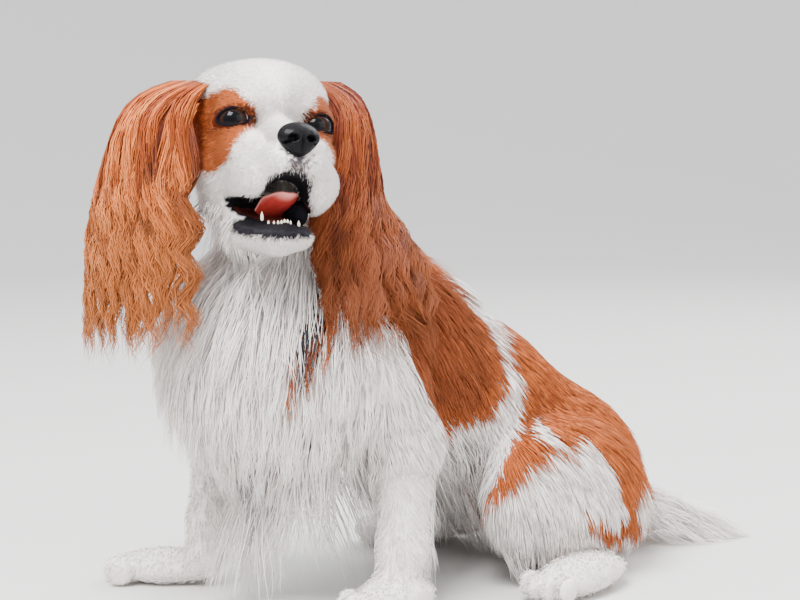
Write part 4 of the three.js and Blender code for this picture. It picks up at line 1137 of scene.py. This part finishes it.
def ear_point(side, t, s, lift):
    """A point t down the ear and s across it, kept clear of the neck and shoulder."""
    out, ahead = ear_axes(side)
    t, s, lift = (np.asarray(v, float)[..., None] for v in (t, s, lift))
    spread = EAR_WIDTH * (0.34 + 0.76 * np.sin(math.pi * np.minimum(0.08 + t * 0.62, 0.5)))
    near, low = EAR_AWAY[side]
    away = 2 + near * (1 - np.exp(-t * 5)) + low * t
    down = EAR_REACH * t - EAR_RISE * np.sin(math.pi * np.minimum(t * 3, 1))
    curve = EAR_CUP * (1 - s * s) * np.minimum(t * 5, 1)
    fore, aside = EAR_FACING if side > 0 else EAR_FACING[::-1]
    wide = unit(-fore * out + aside * ahead)
    face = unit(aside * out + fore * ahead)
    root = from_head(EAR_ROOT * (side, 1, 1) + np.array([0, 0, EAR_RAISED if side > 0 else 0]))
    forward = 6 + EAR_AHEAD[side] * t
    p = root + out * away + ahead * forward + wide * (s * spread / 2) + face * curve
    p = p - np.array([0, 0, 1.0]) * down
    for _ in range(8):
        short = np.maximum(EAR_HANG - BODY_FIELD.distance(p), 0) * (t[..., 0] > 0.1)
        away_from = BODY_FIELD.outward(p) * (1, 1, 0) + ahead
        p = p + unit(away_from) * short[..., None]
    return p + face * lift


for name, side in (("left", 1), ("right", -1)):
    share = EAR_LEATHER / EAR_REACH
    rows, half = 30, 16
    t = np.linspace(0.0, share, rows)[:, None]
    round_off = np.sqrt(np.maximum(1 - (np.maximum(t / share - 0.55, 0) / 0.5) ** 2, 0.04))
    s = np.concatenate([np.linspace(-1, 1, half), np.linspace(0.96, -0.96, half)])[None]
    lift = np.concatenate([np.full(half, EAR_THICK - 2.0), np.full(half, 0.6)])[None] + 0 * t
    points = ear_point(side, t + 0 * s, s * round_off, lift)
    faces = sheet_faces(rows, 2 * half)
    flat = points.reshape(-1, 3)
    tint = np.repeat((CHESTNUT * 0.6)[None], len(flat), 0)
    leather = make_mesh(f"ear_{name}_leather", flat, faces, tint)
    leather.data.materials.append(SKIN)

    count = int(3600 * FULL)
    steps = 10
    s0 = rng.uniform(-1.02, 1.02, count)
    t0 = rng.uniform(-0.02, 0.46, count)
    reach = rng.uniform(0.40, 0.62, count) * (0.85 + 0.35 * t0 / 0.46)
    t1 = np.minimum(t0 + reach, rng.uniform(0.94, 1.10, count))
    cell = (np.floor((s0 + 1.1) * 3.6) * 31 + np.floor((t0 + 0.05) * 12)).astype(int)
    ids, group = np.unique(cell, return_inverse=True)
    phase = rng.uniform(0, 6.3, len(ids))[group] + rng.normal(0, 0.35, count)
    lean = rng.normal(0, 0.10, len(ids))[group]
    sway = rng.uniform(0.06, 0.14, len(ids))[group]
    middle = (np.floor((s0 + 1.1) * 3.6) + 0.5) / 3.6 - 1.1
    high = rng.uniform(0.0, 6.5, count)
    path = []
    for i in range(steps):
        q = i / (steps - 1)
        t = t0 + (t1 - t0) * q
        s = s0 + (middle - s0) * 0.7 * q ** 0.8
        wave = 14 * t + 16 * t * t
        s = s + sway * np.sin(phase + wave) * np.clip(t * 2.6, 0.15, 1) + lean * q
        lift = EAR_THICK - 3 + high * min(q * 3, 1) + 2.6 * np.cos(phase + wave) * np.clip(t * 2, 0, 1)
        path.append(ear_point(side, np.maximum(t, -0.02), s, lift))
    paths = np.stack(path, 1)
    paths[..., 2] = np.maximum(paths[..., 2], 1.0)
    out, ahead = ear_axes(side)
    face = unit(0.78 * out + 0.62 * ahead)
    normals = np.repeat(face[None], count, 0)
    # Each lock differs at random in tone; the darkest are mixed towards DEEP, partly their own colour and
    # partly painted shade between the locks.
    shade = rng.normal(0, 0.34, len(ids))[group][:, None] + rng.normal(0, 0.14, (count, 1))
    lowest = -0.15 - 0.55 * smooth(t0, 0.05, 0.25)[:, None]
    shade = np.clip(shade, lowest, 0.7)
    red = CHESTNUT * (1 + shade) + (DEEP - CHESTNUT) * np.clip(-shade * 2.2, 0, 0.6)
    pale = np.clip(shade * 1.6 + rng.normal(0.1, 0.12, (count, 1)), 0, 0.8)
    tint = red + (BLOND - red) * np.clip(pale + 0.35 * smooth(t0, 0.15, 0.6)[:, None], 0, 0.9)
    tip = red + (BLOND * 1.1 - red) * np.clip(pale + 0.75 * smooth(t1, 0.35, 0.9)[:, None], 0, 1)
    # Painted light and shade: each ear is scaled by its painted shade, lighter for hairs rooted near the
    # top, with the tips darker still.
    shaded = np.array(EAR_PAINTED_SHADE[side])
    tint = np.clip(tint * shaded * (1.25 - 0.5 * smooth(t0, 0.1, 0.4)[:, None]), 0.01, 0.9)
    tip = np.clip(tip * shaded * EAR_TIP_PAINTED_SHADE[side], 0.01, 0.9)
    unwrap = 0.015 + 0.965 * np.stack([(s0 + 1.05) / 2.1, np.clip((t0 + 0.02) / 0.5, 0, 1)], -1)
    width = rng.uniform(1.0, 1.7, count) * WIDE
    pieces = coat(f"ear_{name}_coat", paths, normals, width, tint, unwrap, EAR_HAIR, tip)
    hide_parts(f"ear_{name}")

# Camera, floor and soft light
camera = bpy.data.objects.new("camera", bpy.data.cameras.new("camera"))
bpy.context.scene.collection.objects.link(camera)
bpy.context.scene.camera = camera
pitch = math.atan((300 - HORIZON) / FOCAL)
look = Vector(CAMERA_AHEAD * math.cos(pitch)) + Vector((0, 0, -math.sin(pitch)))
camera.location = Vector((CAMERA_AT + SHIFT) / 1000)
camera.rotation_euler = look.to_track_quat("-Z", "Y").to_euler()
camera.data.lens = FOCAL / 800 * 36
camera.data.clip_end = 50

# A sweep: a flat floor that curves up far around the dog
floor_mesh = bpy.data.meshes.new("floor")
bend = [(3.0 + 2.5 * math.sin(b), 2.5 - 2.5 * math.cos(b)) for b in np.linspace(0, math.pi / 2, 24)]
profile = [(0.02, 0.0), *bend]
around = np.linspace(0, 2 * math.pi, 96, endpoint=False)
sweep = [(out_m * math.cos(b), out_m * math.sin(b), up_m) for out_m, up_m in profile for b in around]
strips = sheet_faces(len(profile), len(around)).tolist()
strips.append(list(range(len(around))))
floor_mesh.from_pydata(sweep, [], strips)
floor_mesh.polygons.foreach_set("use_smooth", [True] * len(strips))
floor = bpy.data.objects.new("floor", floor_mesh)
bpy.context.scene.collection.objects.link(floor)
FLOOR = Shader("floor", Roughness=0.7)
FLOOR.set(Base_Color=(0.62, 0.61, 0.59, 1))
floor_mesh.materials.append(FLOOR.material)


def soft_light(name, place, size, power):
    lamp = bpy.data.lights.new(name, "AREA")
    lamp.size = size
    lamp.energy = power
    obj = bpy.data.objects.new(name, lamp)
    obj.location = place
    obj.rotation_euler = (Vector((0, 0, 0.22)) - Vector(place)).to_track_quat("-Z", "Y").to_euler()
    bpy.context.scene.collection.objects.link(obj)


def by_camera(right, back, up):
    spot = CAMERA_RIGHT * right - CAMERA_AHEAD * back
    return (spot[0], spot[1], up)


soft_light("key", by_camera(-0.7, 1.3, 2.4), 1.4, 230)
soft_light("fill", by_camera(2.0, 1.2, 1.2), 2.0, 34)
soft_light("rim", by_camera(1.2, -1.5, 2.0), 1.6, 80)
world = bpy.data.worlds.new("studio")
bpy.context.scene.world = world
world.use_nodes = True
world.node_tree.nodes["Background"].inputs[0].default_value = (0.93, 0.95, 1.0, 1)
world.node_tree.nodes["Background"].inputs[1].default_value = 1.6
